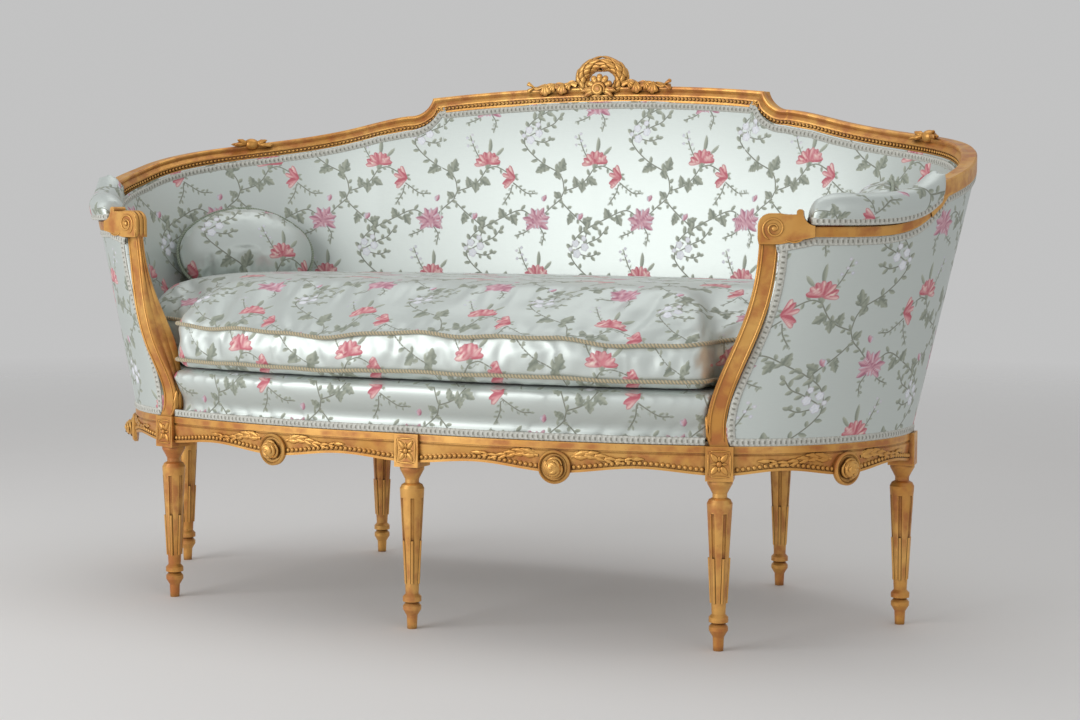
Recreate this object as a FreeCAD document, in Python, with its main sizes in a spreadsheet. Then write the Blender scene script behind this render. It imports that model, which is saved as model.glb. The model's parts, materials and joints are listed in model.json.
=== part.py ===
# Basket-backed gilt settee: seven turned legs, curved rails, carved crest and silk upholstery.
# Millimetres, +Z up, the front faces -Y and the mirror plane is X = 0.
import FreeCAD
import Part
import Sketcher
import math
import os
from types import SimpleNamespace

V = FreeCAD.Vector
Z_AXIS = V(0, 0, 1)

# Shares that shape the curves
SWAY_POWER = 0.75
ARM_CLIMB_POWER = 7
HOLLOW_SHARE = 0.3
BUD_SHOULDER = 0.9
BUD_CROWN = 0.55
RIBBON_TAPER = 0.55
RIBBON_FLUTTER = 0.25
RIBBON_WAVES = 3
PAD_END_SHRINK = 0.25
PAD_END_SHARE = 1 / 6
CROWN_SPREAD = 1.0
CROWN_SHAPE = ((0.0, 0.0), (0.12, 0.24), (0.32, 0.48), (0.65, 0.7), (1.15, 0.86), (1.8, 0.96), (2.6, 1.0))
PILLOW_SHAPE = ((0.42, 1.0), (0.72, 0.84), (0.93, 0.42), (1.0, 0.0))

# Driving dimensions: alias and value, kept in the sheet
SIZES = [
    # Plan of the seat: leg axes and the line of the rails, back from the front corner legs
    ("front_line_y", -320.0),
    ("front_leg_x", 508.0),
    ("centre_leg_forward", 60.0),
    ("front_rail_bow", 25.0),
    ("side_leg_x", 708.0),
    ("side_leg_back", 328.0),
    ("corner_x", 628.0),
    ("corner_back", 478.0),
    ("back_leg_x", 416.0),
    ("back_leg_back", 580.0),
    ("seat_line_depth", 636.0),
    ("seat_line_heading", 16.0),
    # Plan of the rim: arm and crest, over the same five stations
    ("hand_x", 584.0),
    ("hand_back", -4.0),
    ("rim_side_x", 805.0),
    ("rim_side_back", 312.0),
    ("rim_corner_x", 695.0),
    ("rim_corner_back", 541.0),
    ("rim_back_x", 458.0),
    ("rim_back_back", 648.0),
    ("rim_depth", 713.0),
    ("rim_heading", 14.0),
    # Turned legs
    ("foot_diameter", 16.0),
    ("foot_height", 22.0),
    ("foot_taper", 1.0),
    ("ball_diameter", 30.0),
    ("ball_height", 35.0),
    ("ball_bevel", 3.0),
    ("groove_diameter", 21.0),
    ("groove_height", 43.5),
    ("ring_diameter", 30.5),
    ("ring_height", 53.0),
    ("ring_bevel", 2.0),
    ("ankle_diameter", 21.5),
    ("ankle_height", 58.0),
    ("shoulder_diameter", 40.0),
    ("shoulder_height", 231.0),
    ("shoulder_round", 3.0),
    ("neck_diameter", 23.0),
    ("neck_height", 240.0),
    ("neck_length", 6.0),
    ("bell_diameter", 40.0),
    ("bell_height", 262.0),
    ("bell_flare", 4.0),
    ("block_width", 43.0),
    ("block_bottom", 267.0),
    ("flute_count", 6.0),
    ("flute_radius", 3.0),
    ("flute_bottom", 75.0),
    ("flute_top", 216.0),
    ("cable_top", 146.0),
    ("cable_radius", 2.2),
    # Seat rails and their joints
    ("rail_top", 321.0),
    ("rail_thickness", 30.0),
    ("rail_height_block", 46.0),
    ("rail_height_waist", 38.0),
    ("rail_height_medallion", 49.0),
    ("rail_band", 11.0),
    ("rail_groove", 2.5),
    ("rail_relief", 2.0),
    ("rail_bead_channel", 9.0),
    ("rail_fillet", 4.0),
    ("tenon_length", 14.0),
    ("tenon_thickness", 10.0),
    ("tenon_height", 24.0),
    ("joint_clearance", 0.2),
    ("dowel_diameter", 8.0),
    ("dowel_length", 34.0),
    ("cross_rail_width", 60.0),
    ("cross_rail_height", 24.0),
    ("corner_block_reach", 62.0),
    ("corner_block_height", 30.0),
    ("corner_block_width", 104.0),
    ("screw_diameter", 4.5),
    ("screw_head_diameter", 9.0),
    ("screw_length", 50.0),
    # Medallions on the rails
    ("medallion_diameter", 53.0),
    ("medallion_thickness", 9.0),
    ("medallion_drop", 40.0),
    ("medallion_sink", 2.5),
    ("medallion_rim", 6.0),
    ("bud_diameter", 25.0),
    ("bud_height", 11.0),
    # Arm posts and hands
    ("post_sway", 13.5),
    ("post_foot_width", 33.0),
    ("post_waist_width", 23.0),
    ("post_swell_width", 43.0),
    ("post_neck_width", 27.0),
    ("post_depth", 29.0),
    ("post_reed_rise", 2.0),
    ("post_waist_z", 375.0),
    ("post_swell_z", 433.0),
    ("post_neck_z", 532.0),
    ("hand_bottom", 632.0),
    ("hand_top", 677.0),
    ("hand_length", 62.0),
    ("hand_round", 18.0),
    ("knob_radius", 5.0),
    ("knob_rise", 8.0),
    # Arm rails and arm pads
    ("arm_rail_face", 15.0),
    ("arm_rail_height", 17.0),
    ("arm_dip_z", 660.0),
    ("arm_pad_width", 54.0),
    ("arm_pad_height", 50.0),
    # Crest rail
    ("crest_start", 0.72),
    ("crest_end_z", 726.0),
    ("crest_side_z", 757.0),
    ("crest_corner_z", 812.0),
    ("crest_joint_z", 869.0),
    ("crest_joint_x", 398.0),
    ("crest_step_x", 348.0),
    ("crest_step_z", 904.0),
    ("crest_centre_z", 922.0),
    ("crest_sweep_angle", 75.0),
    ("crest_depth", 28.0),
    ("crest_height", 31.0),
    ("crest_back_height", 26.0),
    ("crest_cove", 2.5),
    ("crest_bead_channel", 8.0),
    # Carved ornaments of the crest
    ("wreath_width", 108.0),
    ("wreath_height", 84.0),
    ("wreath_tube", 25.0),
    ("wreath_rise", 15.0),
    ("ribbon_length", 88.0),
    ("ribbon_height", 11.0),
    ("crest_bud_length", 30.0),
    ("crest_bud_width", 23.0),
    # Stiles and upholstery of the back and arms
    ("stile_width", 34.0),
    ("stile_thickness", 16.5),
    ("stile_clearance", 1.0),
    ("cover_thickness", 2.7),
    ("hessian_thickness", 1.2),
    ("pad_edge", 4.0),
    ("pad_crown", 16.0),
    ("cloth_gap", 0.3),
    ("rim_clearance", 1.2),
    ("post_clearance", 0.8),
    ("post_reveal", 1.8),
    # Seat upholstery
    ("webbing_width", 50.0),
    ("webbing_pitch", 78.0),
    ("webbing_thickness", 1.5),
    ("webbing_lap", 13.0),
    ("platform_top", 404.0),
    ("platform_setback", 3.0),
    ("platform_round", 12.0),
    ("dust_cover_z", 284.0),
    # Loose seat cushion
    ("cushion_seam_low", 416.0),
    ("cushion_seam_high", 482.0),
    ("cushion_top", 556.0),
    ("cushion_swell", 3.0),
    ("cushion_side_gap", 1.5),
    ("cushion_front_x", 488.0),
    ("cushion_corner_back", 26.0),
    # Loose pillows: plan place, turn, lean, roll and height over the cushion's seam
    ("pillow_width", 264.0),
    ("pillow_height", 158.0),
    ("pillow_thickness", 84.0),
    ("pillow_left_x", 613.0),
    ("pillow_left_back", 402.0),
    ("pillow_left_yaw", 44.0),
    ("pillow_left_roll", 0.0),
    ("pillow_left_rise", 54.7),
    ("pillow_right_x", 622.0),
    ("pillow_right_back", 318.0),
    ("pillow_right_yaw", 66.0),
    ("pillow_right_roll", 34.0),
    ("pillow_right_rise", 102.9),
    ("pillow_lean", 22.0),
]

doc = FreeCAD.newDocument("Settee")
sheet = doc.addObject("Spreadsheet::Sheet", "Sizes")
for row, (alias, value) in enumerate(SIZES, start=1):
    sheet.set("A%d" % row, alias)
    sheet.set("B%d" % row, str(value))
    sheet.setAlias("B%d" % row, alias)
doc.recompute()
d = SimpleNamespace(**{alias: float(sheet.get(alias)) for alias, value in SIZES})

nodes = []


def keep(item, label):
    # Marks a document object as a finished sub-part
    item.Label = label
    nodes.append(item)
    return item


def feature(label, shape):
    # A sub-part whose shape is worked out here from the sheet
    item = doc.addObject("Part::Feature", label)
    item.Shape = shape
    item.Placement = FreeCAD.Placement()
    return keep(item, label)


def shape_of(label):
    return doc.getObjectsByLabel(label)[0].Shape


def mirrored(item, label):
    # The left-hand twin of a right-hand sub-part
    twin = doc.addObject("Part::Mirroring", label)
    twin.Source = item
    twin.Normal = V(1, 0, 0)
    return keep(twin, label)


def pair(stem, shape):
    # A right-hand sub-part and its mirrored twin
    right = feature(stem + "_right", shape)
    mirrored(right, stem + "_left")


# Plan lines

def heading(angle):
    return V(math.cos(math.radians(angle)), math.sin(math.radians(angle)), 0)


def plan(x, back):
    return V(x, d.front_line_y + back, 0)


class PlanLine:
    # A smooth line through named stations 0, 1, 2, ... in the ground plan: cubics that share slopes
    def __init__(self, points, start_heading, end_heading):
        self.points = points
        self.gaps = [a.distanceToPoint(b) for a, b in zip(points, points[1:])]
        self.slopes = [start_heading] + [heading(0)] * (len(points) - 2) + [end_heading]
        for sweep in range(80):
            for i in range(1, len(points) - 1):
                before, after = self.gaps[i - 1], self.gaps[i]
                pull = (points[i] - points[i - 1]) * (3 * after / before)
                pull += (points[i + 1] - points[i]) * (3 * before / after)
                pull -= self.slopes[i - 1] * after + self.slopes[i + 1] * before
                self.slopes[i] = pull * (0.5 / (before + after))

    def span(self, station):
        low = max(0, min(int(station), len(self.gaps) - 1))
        return low, station - low, self.gaps[low]

    def point(self, station):
        i, u, gap = self.span(station)
        ease = 3 * u ** 2 - 2 * u ** 3
        pull = self.slopes[i] * (u - 2 * u ** 2 + u ** 3) + self.slopes[i + 1] * (u ** 3 - u ** 2)
        return self.points[i] * (1 - ease) + self.points[i + 1] * ease + pull * gap

    def forward(self, station):
        i, u, gap = self.span(station)
        pull = (self.points[i + 1] - self.points[i]) * ((6 * u - 6 * u ** 2) / gap)
        pull += self.slopes[i] * (1 - 4 * u + 3 * u ** 2) + self.slopes[i + 1] * (3 * u ** 2 - 2 * u)
        return pull.normalize()

    def outward(self, station):
        ahead = self.forward(station)
        return V(ahead.y, -ahead.x, 0)


class PlanArc:
    # A bowed line between two points, station 0 to 1
    def __init__(self, start, end, bow):
        chord = end - start
        out = V(chord.y, -chord.x, 0).normalize()
        middle = (start + end) * 0.5 + out * bow
        arc = Part.Arc(start, middle, end)
        self.edge = arc.toShape()

    def parameter(self, station):
        return self.edge.FirstParameter + station * (self.edge.LastParameter - self.edge.FirstParameter)

    def point(self, station):
        return self.edge.valueAt(self.parameter(station))

    def forward(self, station):
        return self.edge.tangentAt(self.parameter(station))

    def outward(self, station):
        ahead = self.forward(station)
        return V(ahead.y, -ahead.x, 0)


CENTRE_LEG = plan(0, -d.centre_leg_forward)
FRONT_LEG = plan(d.front_leg_x, 0)
SIDE_LEG = plan(d.side_leg_x, d.side_leg_back)
BACK_LEG = plan(d.back_leg_x, d.back_leg_back)

front_line = PlanArc(CENTRE_LEG, FRONT_LEG, d.front_rail_bow)
seat_line = PlanLine([FRONT_LEG, SIDE_LEG, plan(d.corner_x, d.corner_back), BACK_LEG,
                      plan(0, d.seat_line_depth)], heading(d.seat_line_heading), V(-1, 0, 0))
rim_line = PlanLine([plan(d.hand_x, d.hand_back), plan(d.rim_side_x, d.rim_side_back),
                     plan(d.rim_corner_x, d.rim_corner_back), plan(d.rim_back_x, d.rim_back_back),
                     plan(0, d.rim_depth)], heading(d.rim_heading), V(-1, 0, 0))
FRONT_STATION, SIDE_STATION, CORNER_STATION, BACK_STATION, CENTRE_STATION = range(5)


def graph(pairs):
    # A smooth height or width over a station or a height
    curve = Part.BSplineCurve()
    curve.interpolate(Points=[V(a, b, 0) for a, b in pairs], Parameters=[a for a, b in pairs])
    return lambda a: curve.value(a).y


def rim_station(x):
    # The station of the back part of the rim at a given distance from the middle
    low, high = CORNER_STATION, CENTRE_STATION
    for i in range(40):
        middle = (low + high) / 2
        if rim_line.point(middle).x > x:
            low = middle
        else:
            high = middle
    return (low + high) / 2


JOINT_STATION = rim_station(d.crest_joint_x)
crest_top = graph([(d.crest_start, d.crest_end_z), (SIDE_STATION, d.crest_side_z),
                   (CORNER_STATION, d.crest_corner_z), (JOINT_STATION, d.crest_joint_z)])
rim_height = graph([(FRONT_STATION, d.hand_top - d.crest_height / 2),
                    (SIDE_STATION, d.crest_side_z - d.crest_height / 2),
                    (CORNER_STATION, d.crest_corner_z - d.crest_height / 2),
                    (JOINT_STATION, d.crest_joint_z - d.crest_height / 2),
                    (CENTRE_STATION, d.crest_centre_z - d.crest_height / 2)])


def wall_point(station, z, offset):
    # A point of the leaning basket wall, offset outward from its middle
    share = (z - d.rail_top) / (rim_height(station) - d.rail_top)
    foot = seat_line.point(station)
    rim = rim_line.point(station)
    out = seat_line.outward(station) + rim_line.outward(station)
    spot = foot + (rim - foot) * share + out.normalize() * offset
    return V(spot.x, spot.y, z)


# Layers of the wall, outward from its middle: cover, stiles, hessian and stuffed pad
COVER_FACE = d.crest_depth / 2
STILE_FACE = COVER_FACE - d.cover_thickness - d.stile_clearance
STILE_MIDDLE = STILE_FACE - d.stile_thickness / 2
HESSIAN_FACE = STILE_FACE - d.stile_thickness - d.stile_clearance
PAD_FACE = HESSIAN_FACE - d.hessian_thickness - d.cloth_gap


def arm_top(station):
    # The arm rail dips behind the hand and sweeps up to the crest
    climb = max(0.0, station / d.crest_start) ** ARM_CLIMB_POWER
    return d.arm_dip_z + (d.crest_end_z - d.crest_back_height - d.arm_dip_z) * climb


# Shape helpers

def polygon(points):
    return Part.makePolygon(points + points[:1])


def spline(points):
    curve = Part.BSplineCurve()
    curve.interpolate(points)
    return curve.toShape()


def arc(start, middle, end):
    return Part.Arc(start, middle, end).toShape()


def line(start, end):
    return Part.LineSegment(start, end).toShape()


def loft(sections):
    solid = Part.makeLoft(sections, True, False)
    if solid.Volume < 0:
        solid.reverse()
    return solid


def skin(*stretches):
    # A solid through flat sections of equal point count: smooth within a stretch, creased between stretches
    faces = [Part.Face(polygon(stretches[0][0])), Part.Face(polygon(stretches[-1][-1]))]
    for rows in stretches:
        count = len(rows[0])
        runs = [spline([row[i] for row in rows]) for i in range(count)]
        faces += [Part.makeRuledSurface(runs[i], runs[(i + 1) % count]) for i in range(count)]
    shell = Part.makeShell(faces)
    shell.sewShape()
    solid = Part.makeSolid(shell)
    if solid.Volume < 0:
        solid.reverse()
    return solid


def flipped(rows):
    # The same sections on the left-hand side, in the opposite order
    return [[V(-spot.x, spot.y, spot.z) for spot in row] for row in reversed(rows)]


def steps(start, end, count):
    return [start + (end - start) * i / count for i in range(count + 1)]


def largest(shape):
    return max(shape.Solids, key=lambda solid: solid.Volume)


def placed_box(centre, ahead, length, width, height):
    # A box centred on a point, its length along a level direction
    box = Part.makeBox(length, width, height, V(-length / 2, -width / 2, -height / 2))
    turn = FreeCAD.Rotation(V(1, 0, 0), V(ahead.x, ahead.y, 0))
    box.Placement = FreeCAD.Placement(centre, turn)
    return box


def rod(centre, axis, diameter, length):
    return Part.makeCylinder(diameter / 2, length, centre - axis * (length / 2), axis)


def mirror(shape):
    return shape.mirror(V(0, 0, 0), V(1, 0, 0))


# Joints: each rail ends in a tenon inside the block of a leg

RAIL_MIDDLE = d.rail_top - d.rail_height_waist / 2


def tenon(leg, inward, slack):
    # The tenon starts in the rail and ends inside the leg block
    root = d.block_width / 2 + d.tenon_length
    tip = d.block_width / 2 - d.tenon_length - slack
    centre = leg + inward * ((root + tip) / 2) + Z_AXIS * RAIL_MIDDLE
    return placed_box(centre, inward, root - tip, d.tenon_thickness + 2 * slack, d.tenon_height + 2 * slack)


def block(leg, ahead):
    height = d.rail_top - d.block_bottom
    centre = leg + Z_AXIS * (d.block_bottom + height / 2)
    return placed_box(centre, ahead, d.block_width, d.block_width, height)


BLOCK_AHEAD = {
    "centre": V(1, 0, 0),
    "front": seat_line.forward(FRONT_STATION),
    "side": seat_line.forward(SIDE_STATION),
    "back": seat_line.forward(BACK_STATION),
}
CENTRE_BLOCK = block(CENTRE_LEG, BLOCK_AHEAD["centre"])
FRONT_BLOCK = block(FRONT_LEG, BLOCK_AHEAD["front"])
SIDE_BLOCK = block(SIDE_LEG, BLOCK_AHEAD["side"])
BACK_BLOCK = block(BACK_LEG, BLOCK_AHEAD["back"])

# Directions in which the rails leave the legs
FRONT_TO_CENTRE = front_line.forward(1) * -1
CENTRE_TO_FRONT = front_line.forward(0)
FRONT_TO_SIDE = seat_line.forward(FRONT_STATION)
SIDE_TO_FRONT = seat_line.forward(SIDE_STATION) * -1
SIDE_TO_BACK = seat_line.forward(SIDE_STATION)
BACK_TO_SIDE = seat_line.forward(BACK_STATION) * -1
BACK_TO_CENTRE = seat_line.forward(BACK_STATION)


# Arm posts: reeded consoles on the front corner blocks, each ending in a scrolled hand

post_width = graph([(d.rail_top, d.post_foot_width), (d.post_waist_z, d.post_waist_width),
                    (d.post_swell_z, d.post_swell_width), (d.post_neck_z, d.post_neck_width),
                    (d.hand_top, d.post_neck_width)])


def post_centre(z):
    # The post sways in over its foot and out under the hand
    share = (z - d.rail_top) / (d.hand_top - d.rail_top)
    sway = -d.post_sway * math.sin(2 * math.pi * share ** SWAY_POWER)
    return wall_point(FRONT_STATION, z, 0) + post_ahead(z) * sway


def post_ahead(z):
    # Level direction from the reeded face back into the arm
    share = (z - d.rail_top) / (d.hand_top - d.rail_top)
    ahead = seat_line.forward(FRONT_STATION) * (1 - share) + rim_line.forward(FRONT_STATION) * share
    return ahead.normalize()


def post_section(z, slack, reveal):
    ahead = post_ahead(z)
    across = V(ahead.y, -ahead.x, 0)
    width = post_width(z) + 2 * (slack + reveal)
    half_depth = d.post_depth / 2 + slack
    middle = post_centre(z)

    def spot(depth, side):
        return middle + ahead * depth + across * side

    corners = [spot(-half_depth, width * (i / 3 - 0.5)) for i in range(4)]
    reeds = []
    for a, b in zip(corners, corners[1:]):
        reeds.append(arc(a, (a + b) * 0.5 - ahead * d.post_reed_rise, b))
    back_right = spot(half_depth, width / 2)
    back_left = spot(half_depth, -width / 2)
    sides = [line(corners[3], back_right), line(back_right, back_left), line(back_left, corners[0])]
    return Part.Wire(reeds + sides)


def hand(slack, reveal):
    # Side outline of the hand: rounded front, level top, knob, and a hollow down to the arm rail
    ahead = post_ahead(d.hand_bottom)
    across = V(ahead.y, -ahead.x, 0)
    base = post_centre(d.hand_bottom)
    front = -d.post_depth / 2 - d.post_reed_rise - slack
    knob = front + d.hand_length
    tail = knob + d.hand_round + d.knob_radius + 2 * slack
    round_mid = d.hand_round * (1 - math.sqrt(0.5))
    width = d.post_neck_width + 2 * (slack + reveal)
    dip = arm_top(0) + slack
    floor_z = d.hand_bottom - slack
    tail_z = arm_top(0) - d.arm_rail_height - slack
    top = d.hand_top + slack
    knob_top = top + d.knob_rise

    def spot(run, z):
        return V(base.x, base.y, z) + ahead * run - across * (width / 2)

    edges = [
        line(spot(front, floor_z), spot(front, top - d.hand_round)),
        arc(spot(front, top - d.hand_round), spot(front + round_mid, top - round_mid),
            spot(front + d.hand_round, top)),
        line(spot(front + d.hand_round, top), spot(knob - d.knob_radius, top)),
        line(spot(knob - d.knob_radius, top), spot(knob - d.knob_radius, knob_top - d.knob_radius)),
        arc(spot(knob - d.knob_radius, knob_top - d.knob_radius), spot(knob, knob_top),
            spot(knob + d.knob_radius, knob_top - d.knob_radius)),
        arc(spot(knob + d.knob_radius, knob_top - d.knob_radius),
            spot(knob + d.knob_radius + round_mid, dip + (knob_top - d.knob_radius - dip) * HOLLOW_SHARE),
            spot(tail, dip)),
        line(spot(tail, dip), spot(tail, tail_z)),
        line(spot(tail, tail_z), spot(-front, floor_z)),
        line(spot(-front, floor_z), spot(front, floor_z)),
    ]
    return Part.Face(Part.Wire(edges)).extrude(across * width)


def post_solid(slack, reveal):
    heights = steps(d.rail_top, d.hand_bottom + d.hand_round, 14)
    shaft = loft([post_section(z, slack, reveal) for z in heights])
    return shaft.fuse(hand(slack, reveal)).removeSplitter()


# Crest rail: a moulded rim with a stepped centre

def crest_profile():
    # Outward and upward offsets from the middle of the top face, from the outer top edge round the front
    back = d.crest_depth / 2
    front = -d.crest_depth / 2
    channel = d.crest_height - d.crest_bead_channel - d.rail_fillet
    return [
        (back, -d.crest_cove), (back - d.crest_cove, 0), (0, -d.crest_cove / 2),
        (front + 2 * d.crest_cove, 0), (front + d.crest_cove, -d.crest_cove),
        (front + d.crest_cove, -2 * d.crest_cove), (front + 2 * d.crest_cove, -channel / 2),
        (front, -channel + d.crest_cove), (front, -channel), (front + d.crest_cove, -channel - 1),
        (front + d.crest_cove, -d.crest_height + d.rail_fillet), (front, -d.crest_height + d.rail_fillet),
        (front, -d.crest_height), (0, -d.crest_height), (back, -d.crest_back_height),
    ]


def crest_section(station, z, tilt, stretch):
    # The profile stands square to the rim, tilted in its run by an angle
    spot = rim_line.point(station)
    out = rim_line.outward(station)
    ahead = rim_line.forward(station)
    up = Z_AXIS * math.cos(tilt) + ahead * math.sin(tilt)
    base = V(spot.x, spot.y, z)
    return [base + out * a + up * (b * stretch) for a, b in crest_profile()]


def crest_side():
    sections = []
    for station in steps(d.crest_start, JOINT_STATION, 22):
        sections.append(crest_section(station, crest_top(station), 0, 1))
    return skin(sections)


def crest_centre_height(x):
    return d.crest_step_z + (d.crest_centre_z - d.crest_step_z) * (1 - (x / d.crest_step_x) ** 2)


def crest_centre():
    # A gently arched middle, mitred at each step to a concave sweep down to the side rails
    turn = math.radians(d.crest_sweep_angle)
    mitre = turn / 2
    radius = (d.crest_step_z - d.crest_joint_z) / (1 - math.cos(turn))
    corner = crest_section(rim_station(d.crest_step_x), d.crest_step_z, -mitre, 1 / math.cos(mitre))
    sweep = [crest_section(JOINT_STATION, d.crest_joint_z, 0, 1)]
    for angle in steps(0, turn, 6)[:-1]:
        x = d.crest_step_x + radius * (math.sin(turn) - math.sin(angle))
        z = d.crest_joint_z + radius * (1 - math.cos(angle))
        sweep.append(crest_section(rim_station(x), z, -angle, 1))
    sweep.append(corner)
    right = [corner]
    for x in steps(d.crest_step_x, 0, 6)[1:]:
        right.append(crest_section(rim_station(x), crest_centre_height(x), 0, 1))
    return skin(sweep, right + flipped(right[:-1]), flipped(sweep))


# Seat rails

def rail_profile(height):
    # Outward and upward offsets from the rail's middle line at its top, round the section
    face = d.rail_thickness / 2
    sunk = face - d.rail_relief
    foot = -height
    return [
        (-face, 0), (face, 0), (face, -d.rail_band), (sunk, -d.rail_band),
        (sunk, -d.rail_band - d.rail_groove),
        (face, -d.rail_band - 2 * d.rail_groove),
        (sunk, foot + d.rail_fillet + d.rail_bead_channel), (sunk, foot + d.rail_fillet),
        (face, foot + d.rail_fillet), (face, foot), (-face, foot),
    ]


def rail_height(share):
    # Deep at the blocks, drawn up at the quarters and deepest at the medallion
    ends = d.rail_height_block
    waist = d.rail_height_waist
    middle = d.rail_height_medallion
    even = (ends + middle) / 2
    wave = (even - waist) / 2
    tilt = (ends - middle) / 2
    turn = 2 * math.pi * share
    return waist + wave + wave * math.cos(2 * turn) + tilt * math.cos(turn)


def rail_section(plan_line, station, height):
    spot = plan_line.point(station) + Z_AXIS * d.rail_top
    out = plan_line.outward(station)
    return [spot + out * a + Z_AXIS * b for a, b in rail_profile(height)]


def rail_sections(plan_line, start, end, shaped):
    sections = []
    for share in steps(0, 1, 16):
        height = rail_height(share) if shaped else d.rail_height_block
        sections.append(rail_section(plan_line, start + (end - start) * share, height))
    return sections


def rail(plan_line, start, end, shaped):
    return skin(rail_sections(plan_line, start, end, shaped))


# Medallions: turned discs with a bud, sunk a little into the rail

def medallion_seat(plan_line, station):
    out = plan_line.outward(station)
    spot = plan_line.point(station) + out * (d.rail_thickness / 2 - d.medallion_sink)
    turn = FreeCAD.Rotation(Z_AXIS, out)
    return FreeCAD.Placement(V(spot.x, spot.y, d.rail_top - d.medallion_drop), turn)


def medallion_recess(plan_line, station):
    disc = Part.makeCylinder(d.medallion_diameter / 2, d.medallion_thickness + d.bud_height)
    disc.Placement = medallion_seat(plan_line, station)
    return disc


def profile_sketch(body, name, role, corners):
    # A closed outline whose corners are bound to the sheet: horizontal and vertical expressions
    sketch = body.newObject("Sketcher::SketchObject", name)
    plane = [item for item in body.Origin.OriginFeatures if item.Role == role][0]
    sketch.AttachmentSupport = [(plane, "")]
    sketch.MapMode = "FlatFace"
    spots = [V(sketch.evalExpression(a), sketch.evalExpression(b), 0) for a, b in corners]
    count = len(spots)
    for i in range(count):
        sketch.addGeometry(Part.LineSegment(spots[i], spots[(i + 1) % count]))
    for i in range(count):
        sketch.addConstraint(Sketcher.Constraint("Coincident", i, 2, (i + 1) % count, 1))
    for i, (a, b) in enumerate(corners):
        places = (("DistanceX", -2, a, spots[i].x), ("DistanceY", -1, b, spots[i].y))
        for kind, axis, expression, value in places:
            if expression == "0":
                sketch.addConstraint(Sketcher.Constraint("PointOnObject", i, 1, axis))
            else:
                number = sketch.addConstraint(Sketcher.Constraint(kind, -1, 1, i, 1, value))
                sketch.setExpression("Constraints[%d]" % number, expression)
    return sketch


def revolution(body, sketch):
    turned = body.newObject("PartDesign::Revolution", body.Name + "_turned")
    turned.Profile = sketch
    turned.ReferenceAxis = (sketch, ["V_Axis"])
    turned.Angle = 360
    return turned


def half(alias):
    return "Sizes.%s / 2" % alias


def medallion(label, placement):
    body = doc.addObject("PartDesign::Body", label)
    thick = "Sizes.medallion_thickness"
    sketch = profile_sketch(body, label + "_outline", "XZ_Plane", [
        ("0", "0"), (half("medallion_diameter"), "0"),
        (half("medallion_diameter"), thick + " - Sizes.medallion_rim / 2"),
        (half("medallion_diameter") + " - Sizes.medallion_rim / 2", thick),
        (half("medallion_diameter") + " - Sizes.medallion_rim", thick + " - Sizes.medallion_rim / 2"),
        (half("bud_diameter"), thick + " - Sizes.medallion_rim / 2"),
        (half("bud_diameter") + " * %s" % BUD_SHOULDER, thick + " + Sizes.bud_height / 2"),
        (half("bud_diameter") + " * %s" % BUD_CROWN, thick + " + Sizes.bud_height * %s" % BUD_SHOULDER),
        ("0", thick + " + Sizes.bud_height"),
    ])
    revolution(body, sketch)
    body.Placement = placement
    return keep(body, label)


# Turned legs with fluting, each a body that the mortises are then cut from

LEG_OUTLINE = [
    ("0", "0"), (half("foot_diameter"), "0"),
    (half("foot_diameter") + " + Sizes.foot_taper", "Sizes.foot_height"),
    (half("ball_diameter"), "Sizes.ball_height - Sizes.ball_bevel"),
    (half("ball_diameter"), "Sizes.ball_height + Sizes.ball_bevel"),
    (half("groove_diameter"), "Sizes.groove_height"),
    (half("ring_diameter"), "Sizes.groove_height + Sizes.ring_bevel"),
    (half("ring_diameter"), "Sizes.ring_height"),
    (half("ankle_diameter"), "Sizes.ankle_height"),
    (half("shoulder_diameter"), "Sizes.shoulder_height"),
    (half("shoulder_diameter") + " - Sizes.shoulder_round",
     "Sizes.shoulder_height + 2 * Sizes.shoulder_round"),
    (half("neck_diameter"), "Sizes.neck_height"),
    (half("neck_diameter"), "Sizes.neck_height + Sizes.neck_length"),
    (half("neck_diameter") + " + Sizes.bell_flare",
     "Sizes.neck_height + Sizes.neck_length + 2 * Sizes.bell_flare"),
    (half("bell_diameter"), "Sizes.bell_height"), (half("bell_diameter"), "Sizes.block_bottom"),
    ("0", "Sizes.block_bottom"),
]


def flute_tool(body, kind, name, bottom, top, radius):
    # A rod along the taper, half sunk in it
    taper = (d.shoulder_diameter - d.ankle_diameter) / 2 / (d.shoulder_height - d.ankle_height)
    start = d.ankle_diameter / 2 + taper * (bottom - d.ankle_height)
    tool = body.newObject("PartDesign::" + kind, name)
    tool.setExpression("Radius", "Sizes." + radius)
    tool.Height = (top - bottom) * math.sqrt(1 + taper * taper)
    tool.Placement = FreeCAD.Placement(V(start, 0, bottom), FreeCAD.Rotation(Z_AXIS, V(taper, 0, 1)))
    return tool


def pattern(body, name, original):
    # Copies of a flute round the leg
    doc.recompute()
    around = body.newObject("PartDesign::PolarPattern", name)
    axis = [item for item in body.Origin.OriginFeatures if item.Role == "Z_Axis"][0]
    around.Originals = [original]
    around.Axis = (axis, [""])
    around.Angle = 360
    around.setExpression("Occurrences", "Sizes.flute_count")
    body.Tip = around
    return around


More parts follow.
